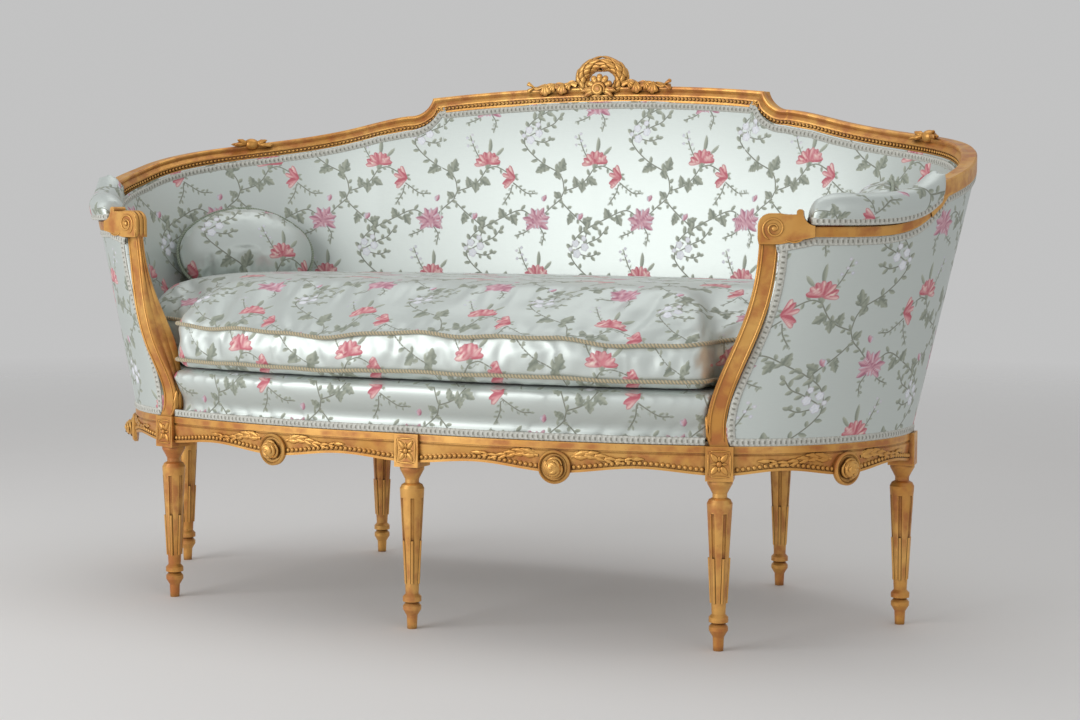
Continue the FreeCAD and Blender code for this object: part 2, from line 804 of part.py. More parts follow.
def leg(label, spot, ahead, cuts):
    body = doc.addObject("PartDesign::Body", label + "_body")
    sketch = profile_sketch(body, label + "_outline", "XZ_Plane", LEG_OUTLINE)
    revolution(body, sketch)
    head = body.newObject("PartDesign::AdditiveBox", label + "_block")
    head.setExpression("Length", "Sizes.block_width")
    head.setExpression("Width", "Sizes.block_width")
    head.setExpression("Height", "Sizes.rail_top - Sizes.block_bottom")
    head.setExpression(".Placement.Base.x", "-Sizes.block_width / 2")
    head.setExpression(".Placement.Base.y", "-Sizes.block_width / 2")
    head.setExpression(".Placement.Base.z", "Sizes.block_bottom")
    flute = flute_tool(body, "SubtractiveCylinder", label + "_flute", d.flute_bottom, d.flute_top,
                       "flute_radius")
    pattern(body, label + "_flutes", flute)
    cable = flute_tool(body, "AdditiveCylinder", label + "_cable", d.flute_bottom, d.cable_top,
                       "cable_radius")
    pattern(body, label + "_cables", cable)
    body.Placement = FreeCAD.Placement(spot, FreeCAD.Rotation(V(1, 0, 0), ahead))
    tools = doc.addObject("Part::Feature", label + "_mortises")
    tools.Shape = Part.makeCompound(cuts)
    cut = doc.addObject("Part::Cut", label)
    cut.Base = body
    cut.Tool = tools
    return keep(cut, label)


# Dowels of the frame: middle point and direction, on the right-hand side

def crest_bottom(station):
    return crest_top(station) - d.crest_height


def lean(station):
    # The slope of the wall from the seat rail up to the crest
    rise = wall_point(station, crest_bottom(station), 0) - wall_point(station, d.rail_top, 0)
    return rise.normalize()


def dowel_axes():
    top = Z_AXIS * d.rail_top
    arm_joint = (d.hand_length + d.hand_round) / rim_line.gaps[0]
    arm_spot = wall_point(arm_joint, d.arm_dip_z - d.arm_rail_height / 2, 0)
    joint_spot = rim_line.point(JOINT_STATION) + Z_AXIS * (crest_top(JOINT_STATION) - d.crest_height / 2)
    return [
        (FRONT_LEG + top, Z_AXIS),
        (SIDE_LEG + top + seat_line.outward(SIDE_STATION) * STILE_MIDDLE, Z_AXIS),
        (BACK_LEG + top + seat_line.outward(BACK_STATION) * STILE_MIDDLE, Z_AXIS),
        (wall_point(SIDE_STATION, crest_bottom(SIDE_STATION), STILE_MIDDLE), lean(SIDE_STATION)),
        (wall_point(BACK_STATION, crest_bottom(BACK_STATION), STILE_MIDDLE), lean(BACK_STATION)),
        (arm_spot, rim_line.forward(arm_joint)),
        (joint_spot, rim_line.forward(JOINT_STATION)),
    ]


right_dowels = [rod(spot, axis, d.dowel_diameter, d.dowel_length) for spot, axis in dowel_axes()]
right_holes = [rod(spot, axis, d.dowel_diameter + d.joint_clearance, d.dowel_length + 2 * d.joint_clearance)
               for spot, axis in dowel_axes()]
HOLES = Part.makeCompound(right_holes + [mirror(hole) for hole in right_holes])


# The frame

def make_rails():
    front_cut = Part.makeCompound([CENTRE_BLOCK, FRONT_BLOCK, medallion_recess(front_line, 0.5)])
    front = largest(rail(front_line, 0, 1, True).cut(front_cut))
    front = front.fuse([tenon(CENTRE_LEG, CENTRE_TO_FRONT, 0), tenon(FRONT_LEG, FRONT_TO_CENTRE, 0)])
    pair("front_rail", front.removeSplitter())
    side_cut = Part.makeCompound([FRONT_BLOCK, SIDE_BLOCK, medallion_recess(seat_line, 0.5)])
    side = largest(rail(seat_line, FRONT_STATION, SIDE_STATION, True).cut(side_cut))
    side = side.fuse([tenon(FRONT_LEG, FRONT_TO_SIDE, 0), tenon(SIDE_LEG, SIDE_TO_FRONT, 0)])
    pair("side_rail", side.removeSplitter())
    corner_cut = Part.makeCompound([SIDE_BLOCK, BACK_BLOCK])
    corner = largest(rail(seat_line, SIDE_STATION, BACK_STATION, False).cut(corner_cut))
    corner = corner.fuse([tenon(SIDE_LEG, SIDE_TO_BACK, 0), tenon(BACK_LEG, BACK_TO_SIDE, 0)])
    pair("corner_rail", corner.removeSplitter())
    half_back = rail_sections(seat_line, BACK_STATION, CENTRE_STATION, False)
    back = skin(half_back + flipped(half_back[:-1]))
    back = largest(back.cut([BACK_BLOCK, mirror(BACK_BLOCK)]))
    tongue = tenon(BACK_LEG, BACK_TO_CENTRE, 0)
    back = back.fuse([tongue, mirror(tongue)]).cut(cross_tenon(d.joint_clearance))
    feature("back_rail", back.removeSplitter())


def cross_ends():
    front = CENTRE_LEG.y + d.block_width / 2
    back = d.front_line_y + d.seat_line_depth - d.rail_thickness / 2
    return front, back


def cross_tenon(slack):
    # The tongue of the cross rail in the back rail
    front, back = cross_ends()
    length = 2 * d.tenon_length + slack
    box = Part.makeBox(d.tenon_height + 2 * slack, length, d.tenon_thickness + 2 * slack)
    box.translate(V(-d.tenon_height / 2 - slack, back - d.tenon_length,
                    RAIL_MIDDLE - d.tenon_thickness / 2 - slack))
    return box


def cross_front_tenon(slack):
    front, back = cross_ends()
    length = 2 * d.tenon_length + slack
    box = Part.makeBox(d.tenon_thickness + 2 * slack, length, d.tenon_thickness + 2 * slack)
    box.translate(V(-d.tenon_thickness / 2 - slack, front - d.tenon_length - slack,
                    RAIL_MIDDLE - d.tenon_thickness / 2 - slack))
    return box


def make_cross_rail():
    front, back = cross_ends()
    bar = Part.makeBox(d.cross_rail_width, back - front, d.cross_rail_height)
    bar.translate(V(-d.cross_rail_width / 2, front, RAIL_MIDDLE - d.cross_rail_height / 2))
    back_rail = shape_of("back_rail")
    front_rail = shape_of("front_rail_right")
    bar = largest(bar.cut([back_rail, front_rail, mirror(front_rail)]))
    feature("seat_cross_rail", bar.fuse([cross_tenon(0), cross_front_tenon(0)]).removeSplitter())


def make_legs():
    slack = d.joint_clearance
    holes = {name: right_holes[i] for i, name in enumerate(("front", "side", "back"))}
    leg("leg_front_centre", CENTRE_LEG, BLOCK_AHEAD["centre"], [
        tenon(CENTRE_LEG, CENTRE_TO_FRONT, slack), mirror(tenon(CENTRE_LEG, CENTRE_TO_FRONT, slack)),
        cross_front_tenon(slack)])
    cuts = {
        "front": [tenon(FRONT_LEG, FRONT_TO_CENTRE, slack), tenon(FRONT_LEG, FRONT_TO_SIDE, slack),
                  holes["front"]],
        "side": [tenon(SIDE_LEG, SIDE_TO_FRONT, slack), tenon(SIDE_LEG, SIDE_TO_BACK, slack), holes["side"]],
        "back": [tenon(BACK_LEG, BACK_TO_SIDE, slack), tenon(BACK_LEG, BACK_TO_CENTRE, slack), holes["back"]],
    }
    for name, spot in (("front", FRONT_LEG), ("side", SIDE_LEG), ("back", BACK_LEG)):
        right = leg("leg_%s_right" % name, spot, BLOCK_AHEAD[name], cuts[name])
        mirrored(right, "leg_%s_left" % name)


make_rails()
make_cross_rail()
make_legs()
doc.recompute()
for name, plan_line in (("front", front_line), ("side", seat_line)):
    right = medallion("medallion_%s_right" % name, medallion_seat(plan_line, 0.5))
    doc.recompute()
    mirrored(right, "medallion_%s_left" % name)


# Arm posts, arm rails, crest and stiles

HAND_STATION = (d.hand_length + d.hand_round + d.knob_radius - d.post_depth / 2) / rim_line.gaps[0]


def arm_rail_section(station):
    top = arm_top(station)
    face = d.arm_rail_face
    back = HESSIAN_FACE + d.cloth_gap
    low = top - d.arm_rail_height
    return [wall_point(station, top, back), wall_point(station, top, face - d.rail_relief),
            wall_point(station, top - d.rail_relief, face), wall_point(station, low, face),
            wall_point(station, low, back)]


def stile(station):
    # A post inside the upholstery, bent to the wall, from the leg block up to the crest
    before = station - d.stile_width / 2 / seat_line.gaps[station - 1]
    after = station + d.stile_width / 2 / seat_line.gaps[station]
    inner = STILE_FACE - d.stile_thickness
    rows = []
    for z in steps(d.rail_top, crest_top(station) - d.crest_back_height, 6):
        row = [wall_point(spot, z, STILE_FACE) for spot in (before, station, after)]
        row += [wall_point(spot, z, inner) for spot in (after, station, before)]
        rows.append(row)
    return skin(rows)


def make_uprights():
    post = post_solid(0, 0)
    crest = crest_side()
    arm = skin([arm_rail_section(station) for station in steps(0, d.crest_start, 14)])
    arm = largest(arm.cut([post, crest]))
    pair("arm_post", post.cut(HOLES))
    pair("arm_rail", arm.cut(HOLES))
    pair("crest_rail", crest.cut(HOLES))
    for name, station in (("side", SIDE_STATION), ("back", BACK_STATION)):
        pair(name + "_stile", largest(stile(station).cut(crest)).cut(HOLES))
    dowels = right_dowels + [mirror(dowel) for dowel in right_dowels]
    feature("frame_dowels", Part.makeCompound(dowels))


# Ornaments of the crest

def wreath_ring():
    # An upright oval ring let into the middle of the crest
    spot = rim_line.point(CENTRE_STATION)
    radius = (d.wreath_width - d.wreath_tube) / 2
    ring = Part.makeTorus(radius, d.wreath_tube / 2, V(0, 0, 0), V(0, 1, 0))
    stretch = FreeCAD.Matrix()
    stretch.scale(V(1, 1, (d.wreath_height - d.wreath_tube) / (2 * radius)))
    stretch.move(V(0, spot.y, d.crest_centre_z + d.wreath_rise))
    return ring.transformGeometry(stretch)


def ribbon():
    # A fluttering ribbon that tapers away along the top of the crest
    rows = []
    start = d.wreath_width / 2 + d.cloth_gap
    for share in steps(0, 1, 8):
        x = start + d.ribbon_length * share
        station = rim_station(x)
        spot = rim_line.point(station)
        out = rim_line.outward(station)
        low = crest_centre_height(x) - d.crest_cove / 2
        flutter = 1 + RIBBON_FLUTTER * math.sin(2 * math.pi * RIBBON_WAVES * share)
        tall = d.ribbon_height * (1 - RIBBON_TAPER * share) * flutter + d.crest_cove
        wide = d.crest_depth / 2 - 2 * d.crest_cove
        edge = wide - d.crest_cove
        row = []
        for a, b in ((-wide, 0), (wide, 0), (edge, tall), (-edge, tall)):
            row.append(V(spot.x, spot.y, low) + out * a + Z_AXIS * b)
        rows.append(row)
    return skin(rows)


def crest_bud():
    # A flower bud on the inner top edge of the crest at its corner
    station = CORNER_STATION
    spot = rim_line.point(station)
    out = rim_line.outward(station)
    centre = V(spot.x, spot.y, crest_top(station)) - out * (d.crest_depth / 4)
    bud = Part.makeSphere(d.crest_bud_length / 2)
    squeeze = FreeCAD.Matrix()
    squeeze.scale(V(1, d.crest_bud_width / d.crest_bud_length, d.crest_bud_width / d.crest_bud_length))
    bud = bud.transformGeometry(squeeze)
    bud.Placement = FreeCAD.Placement(centre, FreeCAD.Rotation(V(1, 0, 0), rim_line.forward(station)))
    return bud


def make_ornaments():
    crest = shape_of("crest_rail_right")
    ring = wreath_ring()
    centre = crest_centre().cut(HOLES)
    tail = ribbon()
    tail = largest(tail.cut([centre, ring]))
    pair("wreath_ribbon", tail)
    feature("crest_rail_centre", largest(centre.cut(ring)))
    feature("crest_wreath", ring)
    pair("crest_bud", largest(crest_bud().cut(crest)))


# Corner blocks and their screws, inside the angles of the seat frame

CORNERS = ((FRONT_LEG, FRONT_STATION), (SIDE_LEG, SIDE_STATION), (BACK_LEG, BACK_STATION))


def corner_screw(leg, station, slack):
    # A countersunk screw from the inner face of the block towards the leg
    inward = seat_line.outward(station) * -1
    head = leg + inward * (d.block_width / 2 + d.corner_block_reach) + Z_AXIS * RAIL_MIDDLE
    shank = Part.makeCylinder(d.screw_diameter / 2 + slack, d.screw_length, head, inward * -1)
    sink = Part.makeCone(d.screw_head_diameter / 2 + slack, d.screw_diameter / 2 + slack, d.screw_diameter,
                         head, inward * -1)
    return shank.fuse(sink).removeSplitter()


def make_corner_blocks():
    frame = [item.Shape for item in nodes if "rail" in item.Label and item.Label.endswith("_right")]
    frame += [item.Shape for item in nodes if item.Label == "back_rail"]
    blocks = []
    screws = []
    for leg_spot, station in CORNERS:
        inward = seat_line.outward(station) * -1
        reach = d.block_width / 2 + d.corner_block_reach
        centre = leg_spot + inward * (reach / 2) + Z_AXIS * RAIL_MIDDLE
        piece = placed_box(centre, inward, reach, d.corner_block_width, d.corner_block_height)
        upright = block(leg_spot, seat_line.forward(station))
        pieces = piece.cut(frame + [upright]).Solids
        piece = max(pieces, key=lambda solid: (solid.CenterOfMass - leg_spot).dot(inward))
        blocks.append(piece.cut(corner_screw(leg_spot, station, d.joint_clearance)))
        screws.append(corner_screw(leg_spot, station, 0))
    feature("corner_blocks", Part.makeCompound(blocks + [mirror(piece) for piece in blocks]))
    feature("corner_block_screws", Part.makeCompound(screws + [mirror(piece) for piece in screws]))


# Upholstery of the back and arms: panels between the seat rail and the rim

def rim_bottom(station, height):
    # Underside of the crest, following its step, at a given depth below the top
    if station <= d.crest_start:
        return arm_top(station)
    if station <= JOINT_STATION:
        return crest_top(station) - height
    x = rim_line.point(station).x
    turn = math.radians(d.crest_sweep_angle)
    radius = (d.crest_step_z - d.crest_joint_z) / (1 - math.cos(turn)) + height
    corner_x = d.crest_step_x - height * math.tan(turn / 2)
    run = corner_x + radius * math.sin(turn) - x
    if x < corner_x:
        return crest_centre_height(x) - height
    return d.crest_joint_z - height + radius - math.sqrt(max(0.0, radius ** 2 - max(0.0, run) ** 2))


def panel_section(station, low, high, outer, inner, crown):
    foot_out = wall_point(station, low, outer)
    foot_in = wall_point(station, low, inner)
    belly = wall_point(station, (low + high) / 2, inner - crown)
    head_in = wall_point(station, high, inner)
    head_out = wall_point(station, high, outer)
    swell = arc(foot_in, belly, head_in) if crown else line(foot_in, head_in)
    return Part.Wire([line(foot_out, foot_in), swell, line(head_in, head_out), line(head_out, foot_out)])


def panel(stations, low, high, outer, inner, crown):
    # Ruled between close sections, so that the stepped top stays true
    sections = [panel_section(station, low, high(station), outer, inner, crown) for station in stations]
    solid = Part.makeLoft(sections, True, True)
    if solid.Volume < 0:
        solid.reverse()
    return solid


CREST_FOOT = d.crest_start + d.arm_rail_height / 3 / rim_line.gaps[0]
SIDE_STATIONS = steps(FRONT_STATION, d.crest_start, 8) + steps(CREST_FOOT, CORNER_STATION, 10)
STEP_STATION = rim_station(d.crest_step_x - d.crest_height)
BACK_STATIONS = steps(CORNER_STATION, JOINT_STATION, 9) + steps(JOINT_STATION, STEP_STATION, 8)[1:]
BACK_STATIONS += steps(STEP_STATION, CENTRE_STATION, 6)[1:]


def pad_top(station):
    return rim_bottom(station, d.crest_height) - d.rim_clearance


def cover_top(station):
    # The underside of the crest slopes, so the cover ends below its lowest point over the cover
    slope = (d.crest_height - d.crest_back_height) / COVER_FACE
    drop = d.arm_rail_height if station <= d.crest_start else 0
    return rim_bottom(station, d.crest_back_height + slope * d.cover_thickness) - drop - d.rim_clearance


POST_ROOM = post_solid(d.post_clearance, d.post_reveal)


def make_wall_upholstery():
    seat = d.platform_top + d.cloth_gap
    rail = d.rail_top + d.cloth_gap
    layers = (
        ("inside_%s_pad", seat, pad_top, PAD_FACE, PAD_FACE - d.pad_edge, d.pad_crown),
        ("%s_hessian", seat, pad_top, HESSIAN_FACE, HESSIAN_FACE - d.hessian_thickness, 0),
        ("outside_%s_cover", rail, cover_top, COVER_FACE, COVER_FACE - d.cover_thickness, 0),
    )
    rim = [shape_of(label) for label in ("crest_rail_right", "arm_rail_right", "crest_rail_centre")]
    for stem, low, high, outer, inner, crown in layers:
        side = panel(SIDE_STATIONS, low, high, outer, inner, crown)
        pair(stem % "arm", largest(side.cut([POST_ROOM] + rim)))
        back = largest(panel(BACK_STATIONS, low, high, outer, inner, crown).cut(rim))
        feature(stem % "back", back.fuse(mirror(back)))


def arm_pad_section(station, scale):
    # A bolster with a flat underside on the arm rail
    base = arm_top(station) + d.cloth_gap
    half_width = d.arm_pad_width / 2 * scale
    tall = d.arm_pad_height * scale

    def spot(side, rise):
        return wall_point(station, base + tall * rise, half_width * side)

    foot_in, foot_out = spot(-0.75, 0), spot(0.75, 0)
    head_in, head_out = spot(-0.6, 0.88), spot(0.6, 0.88)
    return Part.Wire([line(foot_in, foot_out), arc(foot_out, spot(1, 0.45), head_out),
                      arc(head_out, spot(0, 1), head_in), arc(head_in, spot(-1, 0.45), foot_in)])


def make_arm_pads():
    crest = shape_of("crest_rail_right")
    start = HAND_STATION - d.hand_round / 2 / rim_line.gaps[0]
    end = d.crest_start - d.cloth_gap / rim_line.gaps[0]
    sections = []
    for share in steps(0, 1, 12):
        scale = 1 - PAD_END_SHRINK * (1 - min(1, share / PAD_END_SHARE)) ** 2
        sections.append(arm_pad_section(start + (end - start) * share, scale))
    pad = loft(sections).cut([POST_ROOM, crest])
    pair("arm_pad", largest(pad.cut([shape_of("inside_arm_pad_right"), shape_of("arm_hessian_right")])))


# Seat upholstery

def seat_outline(front_offset, side_offset, z):
    # The plan of the seat between the rails: front bows, then round the sides and the back
    front = [front_line.point(t) + front_line.outward(t) * front_offset for t in steps(0.03, 0.97, 8)]
    side = [seat_line.point(t) + seat_line.outward(t) * side_offset for t in steps(0.05, CENTRE_STATION, 24)]
    right = [V(spot.x, spot.y, z) for spot in front + side]
    left = [V(-spot.x, spot.y, z) for spot in reversed(right[:-1])]
    turn = len(front)
    back = len(side) - 1
    edges = [spline(right[:turn]), line(right[turn - 1], right[turn]), spline(right[turn:] + left[:back]),
             line(left[back - 1], left[back]), spline(left[back:]), line(left[-1], right[0])]
    return Part.Wire(edges)


def slab(wire, thickness):
    return Part.Face(wire).extrude(Z_AXIS * thickness)


def make_seat():
    top = d.rail_top
    sheet_thickness = d.hessian_thickness
    lap = -d.rail_thickness / 2 + d.webbing_lap
    clear = [POST_ROOM, mirror(POST_ROOM)]
    reach = seat_line.point(SIDE_STATION).x
    middle = d.front_line_y + d.seat_line_depth / 2
    strips = []
    count = int(reach / d.webbing_pitch)
    for i in range(-count, count + 1):
        strip = Part.makeBox(d.webbing_width, 2 * reach, d.webbing_thickness)
        strip.translate(V(i * d.webbing_pitch - d.webbing_width / 2, middle - reach, top))
        strips.append(strip)
    cross = []
    count = int(d.seat_line_depth / 2 / d.webbing_pitch)
    for i in range(-count, count + 1):
        strip = Part.makeBox(2 * reach, d.webbing_width, d.webbing_thickness)
        edge = middle + i * d.webbing_pitch - d.webbing_width / 2
        strip.translate(V(-reach, edge, top + d.webbing_thickness))
        cross.append(strip)
    field = slab(seat_outline(lap, PAD_FACE, top), 2 * d.webbing_thickness)
    field = field.cut(clear)
    webbing = [strip.common(field) for strip in strips + cross]
    solids = [solid for strip in webbing for solid in strip.Solids if solid.Volume > d.webbing_width ** 2]
    feature("seat_webbing", Part.makeCompound(solids))
    level = top + 2 * d.webbing_thickness
    hessian = slab(seat_outline(lap, PAD_FACE, level), sheet_thickness).cut(clear)
    feature("seat_hessian", largest(hessian))
    base = level + sheet_thickness
    front = d.rail_thickness / 2 - d.platform_setback
    rounding = d.platform_round
    body = loft([seat_outline(front, PAD_FACE, base),
                 seat_outline(front, PAD_FACE, d.platform_top - 2 * rounding),
                 seat_outline(front - rounding / 3, PAD_FACE - 1, d.platform_top - rounding / 3),
                 seat_outline(front - rounding, PAD_FACE - rounding / 3, d.platform_top)])
    feature("seat_platform", largest(body.cut(clear)))
    cover = slab(seat_outline(-d.rail_thickness / 2 - d.cloth_gap, -d.rail_thickness / 2 - d.cloth_gap,
                              d.dust_cover_z), sheet_thickness)
    hidden = [item.Shape for item in nodes if item.Label.startswith(("corner_block", "leg_", "seat_cross"))]
    feature("dust_cover", largest(cover.cut(hidden)))


def cushion_outline(inset, z, spread):
    # The plan of the loose cushion: bowed front, notched past the posts, then round inside the pads
    front = [front_line.point(t) + front_line.outward(t) * (d.rail_thickness / 2) for t in steps(0, 0.85, 6)]
    corner = [plan(d.cushion_front_x, -d.rail_thickness / 2), plan(d.cushion_front_x, d.cushion_corner_back)]
    inward = PAD_FACE - d.cushion_side_gap
    side = [seat_line.point(t) + seat_line.outward(t) * inward for t in steps(0.3, CENTRE_STATION, 20)]
    right = front + corner + side
    depth = side[-1].y - front[0].y
    middle_y = front[0].y + depth / 2
    wide = 1 - spread * inset / d.side_leg_x
    deep = 1 - inset / (depth / 2)
    spots = [V(spot.x * wide, middle_y + (spot.y - middle_y) * deep, z) for spot in right]
    ring = spots + [V(-spot.x, spot.y, spot.z) for spot in reversed(spots[1:-1])]
    curve = Part.BSplineCurve()
    curve.interpolate(Points=ring, PeriodicFlag=True)
    return Part.Wire(curve.toShape())


def make_cushion():
    low = d.platform_top + d.cloth_gap
    seam = d.cushion_seam_high
    crown = d.cushion_top - seam
    middle = (d.cushion_seam_low + seam) / 2
    base = loft([cushion_outline(d.platform_round, low, 1), cushion_outline(0, d.cushion_seam_low, 1)])
    band = loft([cushion_outline(0, d.cushion_seam_low, 1), cushion_outline(-d.cushion_swell, middle, 1),
                 cushion_outline(0, seam, 1)])
    dome = loft([cushion_outline(crown * inset, seam + crown * rise, CROWN_SPREAD)
                 for inset, rise in CROWN_SHAPE])
    feature("seat_cushion", base.fuse([band, dome]).removeSplitter())


def pillow_outline(scale, depth):
    # A D-shaped face: nearly flat below, arched above
    wide = d.pillow_width / 2 * scale
    tall = d.pillow_height * scale
    foot = d.pillow_height * (1 - scale) / 2

    def spot(side, rise):
        return V(wide * side, depth, foot + tall * rise)

    edges = [
        arc(spot(-0.8, 0.04), spot(0, 0), spot(0.8, 0.04)),
        arc(spot(0.8, 0.04), spot(1, 0.34), spot(0.86, 0.7)),
        arc(spot(0.86, 0.7), spot(0, 1), spot(-0.86, 0.7)),
        arc(spot(-0.86, 0.7), spot(-1, 0.34), spot(-0.8, 0.04)),
    ]
    return Part.Wire(edges)


def pillow(label, side, x, back, yaw, roll, rise):
    half_thick = d.pillow_thickness / 2
    rows = [pillow_outline(scale, -half_thick * depth) for scale, depth in PILLOW_SHAPE]
    rows += [pillow_outline(scale, half_thick * depth) for scale, depth in reversed(PILLOW_SHAPE[:-1])]
    body = loft(rows)
    turn = FreeCAD.Rotation(Z_AXIS, -side * yaw).multiply(FreeCAD.Rotation(V(1, 0, 0), -d.pillow_lean))
    turn = turn.multiply(FreeCAD.Rotation(V(0, 1, 0), side * roll))
    spot = plan(side * x, back)
    item = doc.addObject("Part::Feature", label)
    item.Shape = body
    item.Placement = FreeCAD.Placement(V(spot.x, spot.y, d.cushion_seam_high + rise), turn)
    keep(item, label)


make_uprights()
make_ornaments()
make_corner_blocks()
make_wall_upholstery()
make_arm_pads()
doc.recompute()
make_seat()
make_cushion()
pillow("pillow_left", -1, d.pillow_left_x, d.pillow_left_back, d.pillow_left_yaw, d.pillow_left_roll,
       d.pillow_left_rise)
pillow("pillow_right", 1, d.pillow_right_x, d.pillow_right_back, d.pillow_right_yaw, d.pillow_right_roll,
       d.pillow_right_rise)

doc.recompute()
for item in doc.Objects:
    if "Invalid" in item.State or "Error" in item.State:
        raise RuntimeError("failed: " + item.Label)
for item in nodes:
    if item.Shape.isNull() or not item.Shape.isValid():
        raise RuntimeError("bad shape: " + item.Label)

os.makedirs("parts", exist_ok=True)
for item in nodes:
    item.Shape.exportStep("parts/%s.step" % item.Label)
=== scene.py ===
import json
import math

import bmesh
import bpy
import numpy as np
from mathutils import Matrix, Vector
from mathutils.bvhtree import BVHTree


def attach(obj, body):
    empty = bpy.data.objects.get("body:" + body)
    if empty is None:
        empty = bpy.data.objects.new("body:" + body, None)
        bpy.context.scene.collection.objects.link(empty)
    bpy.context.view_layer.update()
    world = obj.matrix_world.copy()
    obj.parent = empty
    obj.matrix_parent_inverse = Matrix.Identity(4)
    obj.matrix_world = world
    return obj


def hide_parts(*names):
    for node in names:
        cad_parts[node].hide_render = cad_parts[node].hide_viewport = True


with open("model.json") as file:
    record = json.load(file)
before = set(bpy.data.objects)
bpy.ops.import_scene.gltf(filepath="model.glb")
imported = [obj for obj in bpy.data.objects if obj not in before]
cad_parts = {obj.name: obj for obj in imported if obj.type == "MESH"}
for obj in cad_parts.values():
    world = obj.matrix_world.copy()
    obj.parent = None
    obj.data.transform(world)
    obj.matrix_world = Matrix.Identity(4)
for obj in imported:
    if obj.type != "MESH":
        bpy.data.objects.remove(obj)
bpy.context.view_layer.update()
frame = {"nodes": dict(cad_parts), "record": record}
scene = bpy.context.scene

# plan of the seat and of the rim over it, in metres: x and distance back from the front corner legs
basket = {
    "frontY": -0.320,
    "seat": [(0.508, 0.0), (0.708, 0.328), (0.628, 0.478), (0.416, 0.580), (0.0, 0.636)],
    "rim": [(0.584, -0.004), (0.805, 0.312), (0.695, 0.541), (0.458, 0.648), (0.0, 0.713)],
    "seatHeading": 16, "rimHeading": 14,
    "frontForward": 0.060, "frontBow": 0.025,
    "railTop": 0.321, "handTop": 0.677,
    "crestStart": 0.72, "crestHeight": 0.031, "crestBackHeight": 0.026,
    "crestKeys": [0.726, 0.757, 0.812, 0.869], "crestCentre": 0.922,
    "jointX": 0.398, "stepX": 0.348, "stepZ": 0.904, "jointZ": 0.869, "sweep": math.radians(75),
    "armDip": 0.660, "armRail": 0.017, "armClimb": 7,
    "coverFace": 0.014, "padFace": -0.0087,
}


def smoothRun(knots, values, first, last):  # cubic pieces that share slopes at the knots
    knots = np.asarray(knots, float)
    values = np.asarray(values, float)
    slopes = np.zeros_like(values)
    slopes[0], slopes[-1] = first, last
    gaps = np.diff(knots)
    for sweep in range(80):
        for i in range(1, len(knots) - 1):
            before, after = gaps[i - 1], gaps[i]
            pull = (values[i] - values[i - 1]) * (3 * after / before)
            pull = pull + (values[i + 1] - values[i]) * (3 * before / after)
            slopes[i] = (pull - slopes[i - 1] * after - slopes[i + 1] * before) * 0.5 / (before + after)
    return knots, values, slopes


def runLengths(path):  # length from the start of a line to each of its points
    return np.concatenate([[0], np.cumsum(np.linalg.norm(np.diff(path, axis=0), axis=1))])


def placed(path, lengths, spots):  # places at given lengths along a line
    return np.stack([np.interp(spots, lengths, column) for column in np.asarray(path).T], -1)


def onRun(curve, t):
    knots, values, slopes = curve
    t = np.asarray(t, float)
    i = np.clip(np.searchsorted(knots, t, "right") - 1, 0, len(knots) - 2)
    gap = knots[i + 1] - knots[i]
    u = (t - knots[i]) / gap
    if values.ndim > 1:
        u, gap = u[..., None], gap[..., None]
    ease = 3 * u ** 2 - 2 * u ** 3
    pull = slopes[i] * (u - 2 * u ** 2 + u ** 3) + slopes[i + 1] * (u ** 3 - u ** 2)
    return values[i] * (1 - ease) + values[i + 1] * ease + pull * gap


def graph(pairs):  # a height over the stations, its end slopes from the four nearest keys
    keys, values = np.array(pairs, float).T
    first = np.polyval(np.polyder(np.polyfit(keys[:4], values[:4], 3)), keys[0])
    last = np.polyval(np.polyder(np.polyfit(keys[-4:], values[-4:], 3)), keys[-1])
    curve = smoothRun(keys, values, first, last)
    return lambda t: onRun(curve, t)


class PlanLine:  # a smooth line through stations 0 to 4, from the arm's front to the middle of the back
    def __init__(self, places, heading):
        points = np.array([(x, basket["frontY"] + back) for x, back in places])
        self.lengths = runLengths(points)
        angle = math.radians(heading)
        self.curve = smoothRun(self.lengths, points, (math.cos(angle), math.sin(angle)), (-1, 0))

    def point(self, station):
        return onRun(self.curve, np.interp(station, range(5), self.lengths))

    def forward(self, station):
        nudge = 0.002
        low = np.clip(np.asarray(station, float) - nudge, 0, 4)
        high = np.clip(np.asarray(station, float) + nudge, 0, 4)
        run = self.point(high) - self.point(low)
        return run / np.linalg.norm(run, axis=-1, keepdims=True)

    def outward(self, station):
        ahead = self.forward(station)
        return np.stack([ahead[..., 1], -ahead[..., 0]], -1)


seatLine = PlanLine(basket["seat"], basket["seatHeading"])
rimLine = PlanLine(basket["rim"], basket["rimHeading"])


def rimStation(x):  # station of the back part of the rim at a distance from the middle
    stations = np.linspace(2, 4, 2001)
    return float(np.interp(-x, -rimLine.point(stations)[:, 0], stations))


jointStation = rimStation(basket["jointX"])
crestTop = graph(list(zip((basket["crestStart"], 1, 2, jointStation), basket["crestKeys"])))
rimHeight = graph([(station, top - basket["crestHeight"] / 2) for station, top in zip(
    (0, 1, 2, jointStation, 4), [basket["handTop"]] + basket["crestKeys"][1:] + [basket["crestCentre"]])])


def wallOut(station):
    out = seatLine.outward(station) + rimLine.outward(station)
    return out / np.linalg.norm(out, axis=-1, keepdims=True)


def wallPoint(station, z, offset):  # a point of the leaning basket wall, offset outward from its middle
    station, z, offset = np.broadcast_arrays(np.asarray(station, float), z, offset)
    share = ((z - basket["railTop"]) / (rimHeight(station) - basket["railTop"]))[..., None]
    foot = seatLine.point(station)
    spot = foot + (rimLine.point(station) - foot) * share + wallOut(station) * offset[..., None]
    return np.concatenate([spot, z[..., None]], -1)


def armTop(station):
    climb = np.clip(np.asarray(station, float) / basket["crestStart"], 0, None) ** basket["armClimb"]
    end = basket["crestKeys"][0] - basket["crestBackHeight"]
    return basket["armDip"] + (end - basket["armDip"]) * climb


